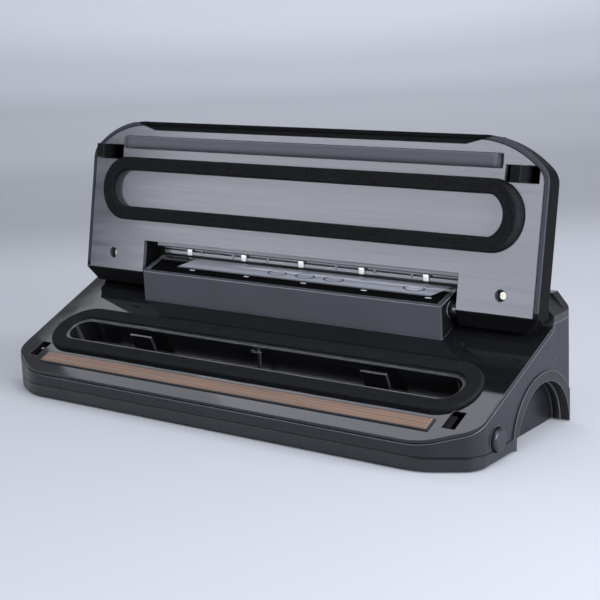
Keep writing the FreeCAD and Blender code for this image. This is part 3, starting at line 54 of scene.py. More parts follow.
forward = np.array((-math.sin(YAW) * math.cos(PITCH),
                    math.cos(YAW) * math.cos(PITCH),
                    -math.sin(PITCH)))
level = np.array((math.cos(YAW), math.sin(YAW), 0.0))
upward = np.cross(level, forward)
picture_right = math.cos(ROLL) * level + math.sin(ROLL) * upward
picture_up = math.cos(ROLL) * upward - math.sin(ROLL) * level
optics = bpy.data.cameras.new("viewpoint")
optics.lens = LENS_MM
optics.sensor_width = SENSOR_MM
optics.sensor_fit = "HORIZONTAL"
camera = bpy.data.objects.new("viewpoint", optics)
rows = [[picture_right[i], picture_up[i], -forward[i], CAMERA_AT[i]] for i in range(3)]
camera.matrix_world = Matrix(rows + [[0.0, 0.0, 0.0, 1.0]])
bpy.context.scene.collection.objects.link(camera)
bpy.context.scene.camera = camera
bpy.context.scene.view_settings.view_transform = "Standard"


# Studio sweep: a painted board, whose round floor curves up into a wall all round. It is matt and
# pale blue grey, with painted light and shade that change slowly with the depth behind the part.
SWEEP_FLOOR = 2.4
SWEEP_BEND = 1.2
SWEEP_TOP = 2.6
SWEEP_RINGS = (0.0, 0.5, 1.2)
SWEEP_BEND_STEPS = 24
SWEEP_TURN_STEPS = 96
SWEEP_PAINT = (0.76, 0.775, 0.80)
SWEEP_ROUGHNESS = 0.85
SWEEP_MIRROR = 0.15
SWEEP_CLOUD = 0.5
SWEEP_DULL = 0.985
SWEEP_DEPTH = (-0.606, 0.795, 0.0)
# Painted light and shade: grey factors on the board's colour at places along the depth.
SWEEP_LIGHT_AND_SHADE = [
    (-0.4, 0.88), (0.1, 0.80), (0.45, 0.77), (0.79, 0.56), (1.1, 0.59),
    (1.5, 0.70), (2.2, 0.76), (2.7, 0.92), (3.0, 1.15), (3.3, 1.28),
]


def grid_faces(rows, columns, closed_rows=False, closed_columns=False):
    """Quads of a grid of points numbered row by row, joined round where a way is closed."""
    down = np.arange(rows if closed_rows else rows - 1)
    along = np.arange(columns if closed_columns else columns - 1)
    row, column = (part.ravel() for part in np.meshgrid(down, along, indexing="ij"))
    here = row * columns
    below = (row + 1) % rows * columns
    beside = (column + 1) % columns
    return np.stack((here + column, here + beside, below + beside, below + column), 1)


def new_piece(name, points, faces, finish):
    """Smooth-shaded mesh object at the origin from an array of points and a list of faces."""
    corners = np.asarray(points, float).reshape(-1, 3).tolist()
    mesh = bpy.data.meshes.new(name)
    mesh.from_pydata(corners, [], [list(map(int, face)) for face in faces])
    mesh.polygons.foreach_set("use_smooth", np.ones(len(mesh.polygons), bool))
    mesh.update()
    mesh.materials.append(finish)
    piece = bpy.data.objects.new(name, mesh)
    bpy.context.scene.collection.objects.link(piece)
    return piece


def shader_of(name, colour, roughness):
    """New material with one Principled shader; gives the material, its node tree and the shader."""
    finish = bpy.data.materials.new(name)
    finish.use_nodes = True
    tree = finish.node_tree
    shader = tree.nodes["Principled BSDF"]
    shader.inputs["Base Color"].default_value = (*colour, 1.0)
    shader.inputs["Roughness"].default_value = roughness
    return finish, tree, shader


def spot_on(tree, kind="Object"):
    """Object coordinates of the shaded spot, or its normal."""
    return tree.nodes.new("ShaderNodeTexCoord").outputs[kind]


def measured_along(tree, vector, direction):
    """Length of a vector along a fixed direction."""
    dot = tree.nodes.new("ShaderNodeVectorMath")
    dot.operation = "DOT_PRODUCT"
    dot.inputs[1].default_value = tuple(direction)
    tree.links.new(vector, dot.inputs[0])
    return dot.outputs["Value"]


def noise(tree, size, detail=2.0, stretch=(1.0, 1.0, 1.0)):
    """Noise with features about size metres across, drawn out by stretch along each axis."""
    turn = tree.nodes.new("ShaderNodeMapping")
    turn.inputs["Scale"].default_value = tuple(1.0 / way for way in stretch)
    tree.links.new(spot_on(tree), turn.inputs["Vector"])
    cloud = tree.nodes.new("ShaderNodeTexNoise")
    cloud.inputs["Scale"].default_value = 1.0 / size
    cloud.inputs["Detail"].default_value = detail
    tree.links.new(turn.outputs["Vector"], cloud.inputs["Vector"])
    return cloud.outputs["Fac"]


def ranged(tree, source, low, high, start=0.3, end=0.7):
    """Value that goes from low to high as the source goes from start to end."""
    scale = tree.nodes.new("ShaderNodeMapRange")
    scale.inputs["From Min"].default_value = start
    scale.inputs["From Max"].default_value = end
    scale.inputs["To Min"].default_value = low
    scale.inputs["To Max"].default_value = high
    tree.links.new(source, scale.inputs["Value"])
    return scale.outputs["Result"]


def tinted(tree, factor, first, second):
    """Colour that goes from first to second, fixed or computed, as the factor goes from 0 to 1."""
    mix = tree.nodes.new("ShaderNodeMix")
    mix.data_type = "RGBA"
    for place, colour in (("A", first), ("B", second)):
        if isinstance(colour, bpy.types.NodeSocket):
            tree.links.new(colour, mix.inputs[place])
        else:
            mix.inputs[place].default_value = (*colour, 1.0)
    tree.links.new(factor, mix.inputs["Factor"])
    return mix.outputs["Result"]


def scaled(values, factor):
    """Parts of a colour, or other values, times a factor."""
    return [value * factor for value in values]


def toned(tree, colour, direction, tones):
    """Colour times a grey factor that eases between the tones at places along a direction."""
    low, high = tones[0][0], tones[-1][0]
    ramp = tree.nodes.new("ShaderNodeValToRGB")
    ramp.color_ramp.interpolation = "EASE"
    stops = ramp.color_ramp.elements
    for index, (place, factor) in enumerate(tones):
        share = (place - low) / (high - low)
        stop = stops[index] if index < len(stops) else stops.new(share)
        stop.position = share
        stop.color = (factor, factor, factor, 1.0)
    depth = measured_along(tree, spot_on(tree), direction)
    tree.links.new(ranged(tree, depth, 0.0, 1.0, low, high), ramp.inputs["Fac"])
    mix = tree.nodes.new("ShaderNodeMix")
    mix.data_type = "RGBA"
    mix.blend_type = "MULTIPLY"
    mix.inputs["Factor"].default_value = 1.0
    tree.links.new(colour, mix.inputs["A"])
    tree.links.new(ramp.outputs["Color"], mix.inputs["B"])
    return mix.outputs["Result"]


def sweep_points():
    """Profile turned round z: level rings, then a quarter circle upwards, then an upright wall."""
    bend = np.linspace(0.0, math.pi / 2, SWEEP_BEND_STEPS)
    reach = np.concatenate((SWEEP_RINGS,
                            SWEEP_FLOOR + SWEEP_BEND * np.sin(bend),
                            [SWEEP_FLOOR + SWEEP_BEND]))
    rise = np.concatenate((np.zeros(len(SWEEP_RINGS)),
                           SWEEP_BEND * (1.0 - np.cos(bend)),
                           [SWEEP_TOP]))
    turn = np.linspace(0.0, 2.0 * math.pi, SWEEP_TURN_STEPS, endpoint=False)
    return np.stack((reach[:, None] * np.cos(turn),
                     reach[:, None] * np.sin(turn),
                     rise[:, None] * np.ones_like(turn)), 2)


sweep_finish, tree, shader = shader_of("painted_board", SWEEP_PAINT, SWEEP_ROUGHNESS)
shader.inputs["Specular IOR Level"].default_value = SWEEP_MIRROR
drift = ranged(tree, noise(tree, SWEEP_CLOUD), 0.0, 1.0)
paint = tinted(tree, drift, scaled(SWEEP_PAINT, SWEEP_DULL), SWEEP_PAINT)
tree.links.new(toned(tree, paint, SWEEP_DEPTH, SWEEP_LIGHT_AND_SHADE), shader.inputs["Base Color"])
board = sweep_points()
sweep = new_piece("studio_sweep", board,
                  grid_faces(*board.shape[:2], closed_columns=True), sweep_finish)


# Studio light: a low softbox in front on the left, which only glossy faces mirror, a ceiling panel
# with a brighter core behind on the left, which the deck mirrors, an overhead panel, a panel on the
# right, a lamp that faces the backdrop, and a dim even surround.
COOL_WHITE = (0.95, 0.98, 1.08)
SURROUND = (0.30, 0.31, 0.34)
PART_FOOT = (0.0, 0.0, 0.0)


def softbox(name, place, target, width, height, radiance):
    """Area lamp at a place, facing a target; its power gives the wanted radiance over its face."""
    lamp = bpy.data.lights.new(name, "AREA")
    lamp.shape = "RECTANGLE"
    lamp.size = width
    lamp.size_y = height
    lamp.energy = radiance * math.pi * width * height
    lamp.color = COOL_WHITE
    holder = bpy.data.objects.new(name, lamp)
    aim = (Vector(target) - Vector(place)).to_track_quat("-Z", "Y")
    holder.matrix_world = Matrix.Translation(place) @ aim.to_matrix().to_4x4()
    holder.visible_camera = False
    bpy.context.scene.collection.objects.link(holder)
    return holder


mirrored_box = softbox("front_softbox", (-0.644, -1.035, 0.42), (0.0, 0.037, 0.13),
                       width=0.80, height=0.72, radiance=5.5)
mirrored_box.visible_diffuse = False
softbox("ceiling_panel", (-1.08, 0.75, 1.7), PART_FOOT, width=1.05, height=1.02, radiance=1.4)
softbox("ceiling_core", (-1.04, 0.70, 1.65), PART_FOOT, width=0.55, height=0.55, radiance=0.7)
softbox("overhead_panel", (0.25, -0.25, 1.9), PART_FOOT, width=1.6, height=1.2, radiance=2.2)
softbox("right_panel", (1.55, -0.1, 0.52), (0.0, 0.0, 0.07), width=1.5, height=0.85, radiance=9.0)
softbox("backdrop_lamp", (-0.83, 1.74, 1.6), (-1.53, 2.69, 0.25),
        width=2.2, height=0.6, radiance=2.4)
world = bpy.data.worlds.new("surround")
world.use_nodes = True
world.node_tree.nodes["Background"].inputs["Color"].default_value = (*SURROUND, 1.0)
world.node_tree.nodes["Background"].inputs["Strength"].default_value = 1.0
bpy.context.scene.world = world


# Base shells: lower tray, upper wall, arched hand grips and release buttons, injection moulded in
# charcoal plastic with a fine spark-eroded grain. The tray and the wall meet at a dark parting line
# and are screwed together from below.
CHARCOAL = (0.0176, 0.0188, 0.0228)
CHARCOAL_LOW = (0.0145, 0.0153, 0.0182)
CHARCOAL_EDGE_HIGHLIGHT = (0.30, 0.31, 0.345)
NICHE_PAINTED_SHADE = (0.0068, 0.0072, 0.0086)
WALL_EDGE = 0.0009
WALL_MIRROR = 0.35
PARTING = 0.0092
SEAM_HALF = 0.0012
SEAM_DARK = (0.004, 0.004, 0.0045)
BEVEL_SAMPLES = 6
# Painted highlight on edges: how far the rounded normal turns before the pale line starts and is
# whole.
HIGHLIGHT_FROM = 0.97
HIGHLIGHT_WHOLLY = 0.82
BAND_CORE = 0.6
MOULD_CLOUD = 0.03
MOULD_GLOSS_CLOUD = 0.012
MOULD_GLOSS_SPREAD = 0.12


def math_node(tree, operation, *values):
    """Math node over sockets or numbers."""
    step = tree.nodes.new("ShaderNodeMath")
    step.operation = operation
    for place, value in zip(step.inputs, values):
        if isinstance(value, (int, float)):
            place.default_value = value
        else:
            tree.links.new(value, place)
    return step.outputs["Value"]


def band(tree, value, middle, half):
    """Soft-edged 1 inside a band about a middle value, 0 outside."""
    off = math_node(tree, "ABSOLUTE", math_node(tree, "SUBTRACT", value, middle))
    return ranged(tree, off, 1.0, 0.0, half * BAND_CORE, half)


def axes_of(tree, vector):
    """The x, y and z values of a vector, by name."""
    split = tree.nodes.new("ShaderNodeSeparateXYZ")
    tree.links.new(vector, split.inputs["Vector"])
    return split.outputs


def nodes_of(finish):
    """Node tree and shader of a finish."""
    return finish.node_tree, finish.node_tree.nodes["Principled BSDF"]


def painted(tree, shader, factor, colour):
    """Lay a colour over the shader's present one where the factor is 1."""
    present = shader.inputs["Base Color"]
    tree.links.new(tinted(tree, factor, present.links[0].from_socket, colour), present)


def rounded_normal(tree, edge):
    """Normal that is rounded within a short way of sharp edges."""
    soft = tree.nodes.new("ShaderNodeBevel")
    soft.samples = BEVEL_SAMPLES
    soft.inputs["Radius"].default_value = edge
    return soft.outputs["Normal"]


def relief(tree, shader, height, depth, edge):
    """Bump of the given depth over normals that are rounded at sharp edges."""
    bump = tree.nodes.new("ShaderNodeBump")
    bump.inputs["Distance"].default_value = depth
    tree.links.new(rounded_normal(tree, edge), bump.inputs["Normal"])
    tree.links.new(height, bump.inputs["Height"])
    tree.links.new(bump.outputs["Normal"], shader.inputs["Normal"])


def edge_highlighted(tree, shader, edge, pale):
    """Painted highlight along edges: where the rounded normal leaves the face's own normal."""
    face = tree.nodes.new("ShaderNodeNewGeometry")
    turn = tree.nodes.new("ShaderNodeVectorMath")
    turn.operation = "DOT_PRODUCT"
    tree.links.new(rounded_normal(tree, edge), turn.inputs[0])
    tree.links.new(face.outputs["Normal"], turn.inputs[1])
    highlight = ranged(tree, turn.outputs["Value"], 1.0, 0.0, HIGHLIGHT_WHOLLY, HIGHLIGHT_FROM)
    painted(tree, shader, highlight, pale)


def moulded(name, colour, roughness, grain=0.0004, depth=0.00001, spread=0.12,
            edge=0.0006, pale=None):
    """Moulded plastic: colour and gloss drift over centimetres, and the surface has a fine grain."""
    finish, tree, shader = shader_of(name, colour, roughness)
    drift = ranged(tree, noise(tree, MOULD_CLOUD, detail=3.0), 0.0, 1.0)
    tone = tinted(tree, drift, scaled(colour, 1.0 - spread), scaled(colour, 1.0 + spread))
    tree.links.new(tone, shader.inputs["Base Color"])
    gloss = ranged(tree, noise(tree, MOULD_GLOSS_CLOUD, detail=4.0),
                   roughness * (1.0 - MOULD_GLOSS_SPREAD), roughness * (1.0 + MOULD_GLOSS_SPREAD))
    tree.links.new(gloss, shader.inputs["Roughness"])
    relief(tree, shader, noise(tree, grain), depth, edge)
    if pale:
        edge_highlighted(tree, shader, edge, pale)
    return finish


def seamed(finish):
    """Dark line round a shell at the height where it meets the other one."""
    tree, shader = nodes_of(finish)
    height = axes_of(tree, spot_on(tree))["Z"]
    painted(tree, shader, band(tree, height, PARTING, SEAM_HALF), SEAM_DARK)
    return finish


def mirroring(finish, share):
    """Finish whose mirror reflection has the given strength."""
    nodes_of(finish)[1].inputs["Specular IOR Level"].default_value = share
    return finish


def dress(finish, *names):
    """Give CAD nodes a finish in place of their plain one."""
    for name in names:
        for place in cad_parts[name].material_slots:
            place.material = finish


# The wall's edges and the niches' edges carry a painted highlight: a pale line.
wall_finish = moulded("charcoal_wall", CHARCOAL, roughness=0.30,
                      edge=WALL_EDGE, pale=CHARCOAL_EDGE_HIGHLIGHT)
dress(seamed(mirroring(wall_finish, WALL_MIRROR)), "base_housing")
dress(seamed(moulded("charcoal_tray", CHARCOAL_LOW, roughness=0.34)), "base_bottom")
# The niches are darker than the wall: painted shade inside the arches.
niche_finish = moulded("charcoal_niche", NICHE_PAINTED_SHADE, roughness=0.34, pale=CHARCOAL_EDGE_HIGHLIGHT)
dress(niche_finish, "niche_left", "niche_right")
button_finish = moulded("charcoal_button", CHARCOAL, roughness=0.28)
dress(button_finish, "release_button_left", "release_button_right")


# Feet and screws of the base: matt rubber discs pressed into the floor, and zinc-plated
# self-tapping screws that hold the two shells together.
FOOT_BLACK = (0.02, 0.02, 0.021)
ZINC = (0.52, 0.51, 0.48)
TOOL_LINE = 0.0002
TOOL_LINE_DEPTH = 0.000006
METAL_CLOUD = 0.004
METAL_DULL = 0.85
METAL_EDGE = 0.0002
METAL_GLOSS = (0.75, 1.3)
LEVEL_LINES = (40.0, 1.0, 1.0)
EVEN = (1.0, 1.0, 1.0)


def metal(name, colour, roughness, stretch=LEVEL_LINES):
    """Worked metal: fine tool lines drawn out along one axis, in the gloss and in the surface."""
    finish, tree, shader = shader_of(name, colour, roughness)
    shader.inputs["Metallic"].default_value = 1.0
    lines = noise(tree, TOOL_LINE, detail=3.0, stretch=stretch)
    gloss = ranged(tree, lines, *scaled(METAL_GLOSS, roughness))
    tree.links.new(gloss, shader.inputs["Roughness"])
    drift = ranged(tree, noise(tree, METAL_CLOUD, detail=3.0), 0.0, 1.0)
    tone = tinted(tree, drift, scaled(colour, METAL_DULL), colour)
    tree.links.new(tone, shader.inputs["Base Color"])
    relief(tree, shader, lines, TOOL_LINE_DEPTH, METAL_EDGE)
    return finish


dress(moulded("foot_rubber", FOOT_BLACK, roughness=0.8, grain=0.0006, depth=0.00004), "feet")
dress(metal("zinc_plate", ZINC, roughness=0.36, stretch=EVEN), "base_screws")


# Deck: one polished black moulding on top of the upper wall, with the slow waviness of a gloss
# panel, a few faint wipe marks and a painted highlight, a pale line, along its edges.
PIANO_BLACK = (0.0092, 0.0097, 0.0110)
GLOSS_EDGE_HIGHLIGHT = (0.16, 0.165, 0.18)
GLOSS_IOR = 1.52
GLOSS_WAVE = 0.02
GLOSS_WAVE_DEPTH = 0.00003
GLOSS_CLOUD = 0.05
GLOSS_SPREAD = 0.1
GLOSS_MARKS = (0.7, 1.5)
WIPE_MARK = 0.006
WIPE_STREAK = (12.0, 1.0, 1.0)
DRAWN_STREAK = (60.0, 1.0, 1.0)
DRAWN_SPREAD = 0.09


def polished(name, colour, roughness, streak=WIPE_STREAK, edge=0.0005, pale=None, drawn=None):
    """Polished plastic: slow waves in the surface and faint drawn-out wipe marks in the gloss.

    Where drawn gives a line width, the colour varies in fine level lines and not in slow clouds.
    """
    finish, tree, shader = shader_of(name, colour, roughness)
    shader.inputs["IOR"].default_value = GLOSS_IOR
    marks = noise(tree, WIPE_MARK, detail=5.0, stretch=streak)
    gloss = ranged(tree, marks, *scaled(GLOSS_MARKS, roughness))
    tree.links.new(gloss, shader.inputs["Roughness"])
    if drawn:
        cloud = noise(tree, drawn, detail=4.0, stretch=DRAWN_STREAK)
        spread = DRAWN_SPREAD
    else:
        cloud = noise(tree, GLOSS_CLOUD)
        spread = GLOSS_SPREAD
    tone = tinted(tree, ranged(tree, cloud, 0.0, 1.0),
                  scaled(colour, 1.0 - spread), scaled(colour, 1.0 + spread))
    tree.links.new(tone, shader.inputs["Base Color"])
    relief(tree, shader, noise(tree, GLOSS_WAVE, detail=1.0), GLOSS_WAVE_DEPTH, edge)
    if pale:
        edge_highlighted(tree, shader, edge, pale)
    return finish


dress(polished("deck_gloss", PIANO_BLACK, roughness=0.045, pale=GLOSS_EDGE_HIGHLIGHT), "deck_plate")


# Trough and its suction port: a polished black tub with two bag stops, which lies loose in the deck
# and lifts out, and a black moulded port in its middle.
TROUGH_BLACK = (0.011, 0.0115, 0.0125)
TROUGH_EDGE_HIGHLIGHT = (0.30, 0.31, 0.34)
PORT_BLACK = (0.02, 0.0205, 0.0225)
# The trough's rims and the port's edges carry a painted highlight: a pale line.
dress(polished("trough_gloss", TROUGH_BLACK, roughness=0.12, pale=TROUGH_EDGE_HIGHLIGHT), "drip_tray")
dress(polished("port_gloss", PORT_BLACK, roughness=0.16, pale=GLOSS_EDGE_HIGHLIGHT), "air_inlet")


# Foam rings: cut from closed-cell foam and laid into shallow grooves of the deck and of the lid's
# inner plate. Their cut faces show fine pores, and their edges waver a little.
DECK_SLOPE = math.radians(23.14)
DECK_START = np.array((0.0, -0.0676, 0.0195))
DECK_BACK = np.array((0.0, math.cos(DECK_SLOPE), math.sin(DECK_SLOPE)))
DECK_UP = np.array((0.0, -math.sin(DECK_SLOPE), math.cos(DECK_SLOPE)))
DECK_FACE = (DECK_START, DECK_BACK, DECK_UP)
DECK_RING_MIDDLE = 0.0508
LID_LEAN = math.radians(11.46)
LID_START = np.array((0.0, 0.025657, 0.076118))
LID_UP = np.array((0.0, math.sin(LID_LEAN), math.cos(LID_LEAN)))
LID_OUT = np.array((0.0, -math.cos(LID_LEAN), math.sin(LID_LEAN)))
LID_FACE = (LID_START, LID_UP, LID_OUT)
LID_RING_MIDDLE = 0.06175
ACROSS = np.array((1.0, 0.0, 0.0))
RING_HALF_LENGTH = 0.180
RING_STEPS = 420
RING_WAVERS = ((0.018, 9, 0.0), (0.012, 23, 1.0))
GROOVE_FLOOR = -0.0009
FOAM_BLACK = (0.0067, 0.0070, 0.0076)
FOAM_ROUGHNESS = 0.92
FOAM_MIRROR = 0.07
FOAM_CELLS_PER_METRE = 1500.0
FOAM_CELL_WALLS = (0.2, 0.75)
FOAM_TOP_TONES = (0.5, 3.2)
FOAM_LIT_SIDE_TONES = (1.0, 4.0)
FOAM_LIT_SIDE_TURN = (0.35, 0.75)
FOAM_PORE_DEPTH = 0.00012
FOAM_ROUND = 0.0006
FOAM_ROUND_STEPS = 5
FOAM_TOP_STEPS = 6
FOAM_TOP_SHARE = 0.36
FOAM_DIP = 0.00012


def on_face(face, across, along, off):
    """Points by a sloping face: its start + across * x + along * the way up it + off * normal."""
    start, back, normal = face
    return start + ACROSS * across[..., None] + back * along[..., None] + normal * off[..., None]


def slot_path(half_length, half_height):
    """Points and outward normals along a slot outline: two level lines joined by half circles."""
    reach = half_length - half_height
    straight = 2.0 * reach
    arc = math.pi * half_height
    way = np.linspace(0.0, 2.0 * (straight + arc), RING_STEPS, endpoint=False)
    half, along = np.divmod(way, straight + arc)
    side = 1.0 - 2.0 * half
    turn = np.clip((along - straight) / half_height, 0.0, math.pi)
    run = np.clip(along, 0.0, straight) - reach
    normal = np.stack((np.sin(turn) * side, np.cos(turn) * side), 1)
    centre = np.stack((side * run, np.zeros_like(run)), 1)
    return centre + half_height * normal, normal, way


def foam_profile(width, low, top):
    """Section of a ring: round upper edges, a top that dips a little, and a flat foot."""
    corner = np.linspace(0.0, math.pi / 2, FOAM_ROUND_STEPS)
    right = np.stack((width / 2 - FOAM_ROUND + FOAM_ROUND * np.cos(corner),
                      top - FOAM_ROUND + FOAM_ROUND * np.sin(corner)), 1)
    left = right[::-1] * (-1.0, 1.0)
    swell = np.linspace(-math.pi, math.pi, FOAM_TOP_STEPS)
    crown = np.stack((-FOAM_TOP_SHARE * width * swell / math.pi, top - FOAM_DIP * np.cos(swell)), 1)
    foot = np.array(((-width / 2, low), (width / 2, low)))
    return np.concatenate((right, crown, left, foot))


def foam_ring(name, face, middle, half_height, width, top, lean, finish):
    """Profile carried round a slot path: centre line + across * path normal + height * face normal.

    The width wavers by two slow sines along the path, as a hand-laid ring does, and on the bends the
    top leans inwards, as a strip does that is bent on edge.
    """
    path, normal, way = slot_path(RING_HALF_LENGTH - width / 2, half_height - width / 2)
    turn = 2.0 * math.pi * way / (way[-1] + way[1])
    waver = np.ones_like(turn)
    for size, waves, shift in RING_WAVERS:
        waver += size * np.sin(waves * turn + shift)
    profile = foam_profile(width, GROOVE_FLOOR, top)
    across, height = profile.T
    rise = (height - GROOVE_FLOOR) / (top - GROOVE_FLOOR)
    offset = across[None, :] * waver[:, None] - lean * np.abs(normal[:, :1]) * rise[None, :]
    flat = path[:, None, :] + normal[:, None, :] * offset[:, :, None]
    points = on_face(face, flat[..., 0], middle + flat[..., 1], height[None, :])
    return new_piece(name, points, grid_faces(len(path), len(profile), True, True), finish)


def foam(name, up):
    """Closed-cell foam: matt, fine pores, paler cell walls, and painted light on sideways faces."""
    finish, tree, shader = shader_of(name, FOAM_BLACK, FOAM_ROUGHNESS)
    shader.inputs["Specular IOR Level"].default_value = FOAM_MIRROR
    cells = tree.nodes.new("ShaderNodeTexVoronoi")
    cells.inputs["Scale"].default_value = FOAM_CELLS_PER_METRE
    tree.links.new(spot_on(tree), cells.inputs["Vector"])
    walls = ranged(tree, cells.outputs["Distance"], 0.0, 1.0, *FOAM_CELL_WALLS)
    # Painted light: faces turned sideways from up are paler, as if lit from the side.
    top, side = (tinted(tree, walls, scaled(FOAM_BLACK, dark), scaled(FOAM_BLACK, light))
                 for dark, light in (FOAM_TOP_TONES, FOAM_LIT_SIDE_TONES))
    facing = measured_along(tree, spot_on(tree, "Normal"), up)
    lit_sideways = ranged(tree, facing, 1.0, 0.0, *FOAM_LIT_SIDE_TURN)
    tree.links.new(tinted(tree, lit_sideways, top, side), shader.inputs["Base Color"])
    relief(tree, shader, cells.outputs["Distance"], FOAM_PORE_DEPTH, FOAM_ROUND)
    return finish


deck_ring = foam_ring("deck_foam_ring", DECK_FACE, DECK_RING_MIDDLE, half_height=0.024, width=0.0105,
                      top=0.0025, lean=0.0004, finish=foam("deck_foam", DECK_UP))
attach(deck_ring, "base")
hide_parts("lower_gasket")
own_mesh(deck_ring)
lid_ring = foam_ring("lid_foam_ring", LID_FACE, LID_RING_MIDDLE, half_height=0.0233, width=0.0095,
                     top=0.006, lean=0.0034, finish=foam("lid_foam", LID_OUT))
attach(lid_ring, "lid")
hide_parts("lid_gasket")
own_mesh(lid_ring)


# Heat-sealing strip: a grained carrier bar, two flat resistance wires and a brown coated
# glass-cloth tape stretched over them, glued down at its edges so that the wires show as two low
# ridges. Dark lines run along the tape.
TAPE_HALF_LENGTH = 0.164
TAPE_WIDTH = 0.0099
TAPE_MIDDLE = 0.01605
TAPE_TOP = 0.00118
TAPE_GRID = (260, 41)
TAPE_THICKNESS = 0.00012
TAPE_BROWN = (0.285, 0.17, 0.106)
TAPE_DARK = (0.10, 0.07, 0.056)
TAPE_THREAD = 0.0009
TAPE_THREAD_DEPTH = 0.00002
TAPE_LINES = ((0.0, 0.00035), (-0.0026, 0.0003), (0.0026, 0.0003), (-0.0044, 0.0003),
              (0.0046, 0.0003))
TAPE_LINE_BREAK = 0.0012
TAPE_LINE_SHARE = (0.25, 1.0)
TAPE_CLOUD = 0.02
TAPE_CLOUD_SHARE = (0.0, 0.35)
TAPE_CLOUD_STRETCH = (4.0, 1.0, 1.0)
TAPE_SAG = 0.00004
TAPE_SAG_LENGTHS = (0.083, 0.051)
WIRE_PITCH = 0.0048
WIRE_RISE = 0.00016
WIRE_HALF = 0.0011
WIRE_FLANK = 0.00012
BAR_BLACK = (0.03, 0.03, 0.033)
WIRE_METAL = (0.42, 0.38, 0.34)


def sloped_plane(tree, slope, start):
    """Object coordinates turned into a sloping face: x across, y up the slope, z off it."""
    back = np.array((0.0, math.cos(slope), math.sin(slope)))
    off = np.array((0.0, -math.sin(slope), math.cos(slope)))
    turn = tree.nodes.new("ShaderNodeMapping")
    turn.inputs["Rotation"].default_value = (-slope, 0.0, 0.0)
    turn.inputs["Location"].default_value = (0.0, -float(start @ back), -float(start @ off))
    tree.links.new(spot_on(tree), turn.inputs["Vector"])
    return turn.outputs["Vector"]


def highest(tree, values):
    """The greatest of several values at each spot."""
    most = values[0]
    for value in values[1:]:
        most = math_node(tree, "MAXIMUM", most, value)
    return most


def tape_points():
    """Sheet along the deck: level but for a smooth step over each wire and a slight sag."""
    across = np.linspace(-TAPE_HALF_LENGTH, TAPE_HALF_LENGTH, TAPE_GRID[0])
    along = np.linspace(-TAPE_WIDTH / 2, TAPE_WIDTH / 2, TAPE_GRID[1])
    ridges = np.zeros_like(along)
    for side in (-1, 1):
        from_wire = np.abs(along - side * WIRE_PITCH / 2)
        ridges += WIRE_RISE / (1.0 + np.exp((from_wire - WIRE_HALF) / WIRE_FLANK))
    long_wave, short_wave = (2 * math.pi * across / length for length in TAPE_SAG_LENGTHS)
    sag = TAPE_SAG * np.sin(long_wave) * np.cos(short_wave)
    held = np.cos(math.pi * along / TAPE_WIDTH)
    height = TAPE_TOP - WIRE_RISE + ridges[None, :] + sag[:, None] * held[None, :]
    return on_face(DECK_FACE, across[:, None], (TAPE_MIDDLE + along)[None, :], height)


dress(moulded("bar_black", BAR_BLACK, roughness=0.5), "seal_bar")
dress(metal("wire_metal", WIRE_METAL, roughness=0.35), "heating_wires")
tape_finish, tree, shader = shader_of("tape_cloth", TAPE_BROWN, roughness=0.42)
on_tape = axes_of(tree, sloped_plane(tree, DECK_SLOPE, DECK_START))
warp, weft = (math_node(tree, "SINE", math_node(tree, "MULTIPLY", on_tape[axis],
                                               2 * math.pi / TAPE_THREAD)) for axis in "XY")
weave = math_node(tree, "MULTIPLY", warp, weft)
lines = highest(tree, [band(tree, on_tape["Y"], TAPE_MIDDLE + offset, half)
                       for offset, half in TAPE_LINES])
breaks = noise(tree, TAPE_LINE_BREAK, detail=3.0, stretch=DRAWN_STREAK)
streaks = ranged(tree, breaks, *TAPE_LINE_SHARE)
drift = noise(tree, TAPE_CLOUD, detail=4.0, stretch=TAPE_CLOUD_STRETCH)
cloud = ranged(tree, drift, *TAPE_CLOUD_SHARE)
stains = math_node(tree, "ADD", math_node(tree, "MULTIPLY", lines, streaks), cloud)
shade = math_node(tree, "MINIMUM", stains, 1.0)
tree.links.new(tinted(tree, shade, TAPE_BROWN, TAPE_DARK), shader.inputs["Base Color"])
relief(tree, shader, weave, TAPE_THREAD_DEPTH, METAL_EDGE)
tape = new_piece("tape_over_wires", tape_points(), grid_faces(*TAPE_GRID), tape_finish)
solid = tape.modifiers.new("thickness", "SOLIDIFY")
solid.thickness = TAPE_THICKNESS
solid.offset = -1.0
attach(tape, "base")
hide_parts("seal_tape")


# Control box: polished graphite shell in the middle of the rear. Its sideways-facing ends and the
# hinge bosses beyond them are darkened with painted shade, and its edges carry a painted highlight.
BOX_GRAPHITE = (0.069, 0.073, 0.0855)
BOX_END_SHADE = (0.008, 0.0083, 0.0095)
BOX_EDGE_HIGHLIGHT = (0.72, 0.74, 0.80)
BOX_EDGE = 0.0005
BOX_END_SHADE_TURN = (0.6, 0.8)
BOSS_SHADE_START = (0.1299, 0.1301)
box_finish = polished("box_graphite", BOX_GRAPHITE, roughness=0.17, edge=BOX_EDGE)
tree, shader = nodes_of(box_finish)
# Painted shade: faces turned sideways, as the box's ends are, go dark.
turned = math_node(tree, "ABSOLUTE", axes_of(tree, spot_on(tree, "Normal"))["X"])
painted(tree, shader, ranged(tree, turned, 0.0, 1.0, *BOX_END_SHADE_TURN), BOX_END_SHADE)
edge_highlighted(tree, shader, BOX_EDGE, BOX_EDGE_HIGHLIGHT)
# Painted shade: the hinge bosses beyond the box's ends go dark.
outward = math_node(tree, "ABSOLUTE", axes_of(tree, spot_on(tree))["X"])
painted(tree, shader, ranged(tree, outward, 0.0, 1.0, *BOSS_SHADE_START), BOX_END_SHADE)
dress(box_finish, "control_housing")


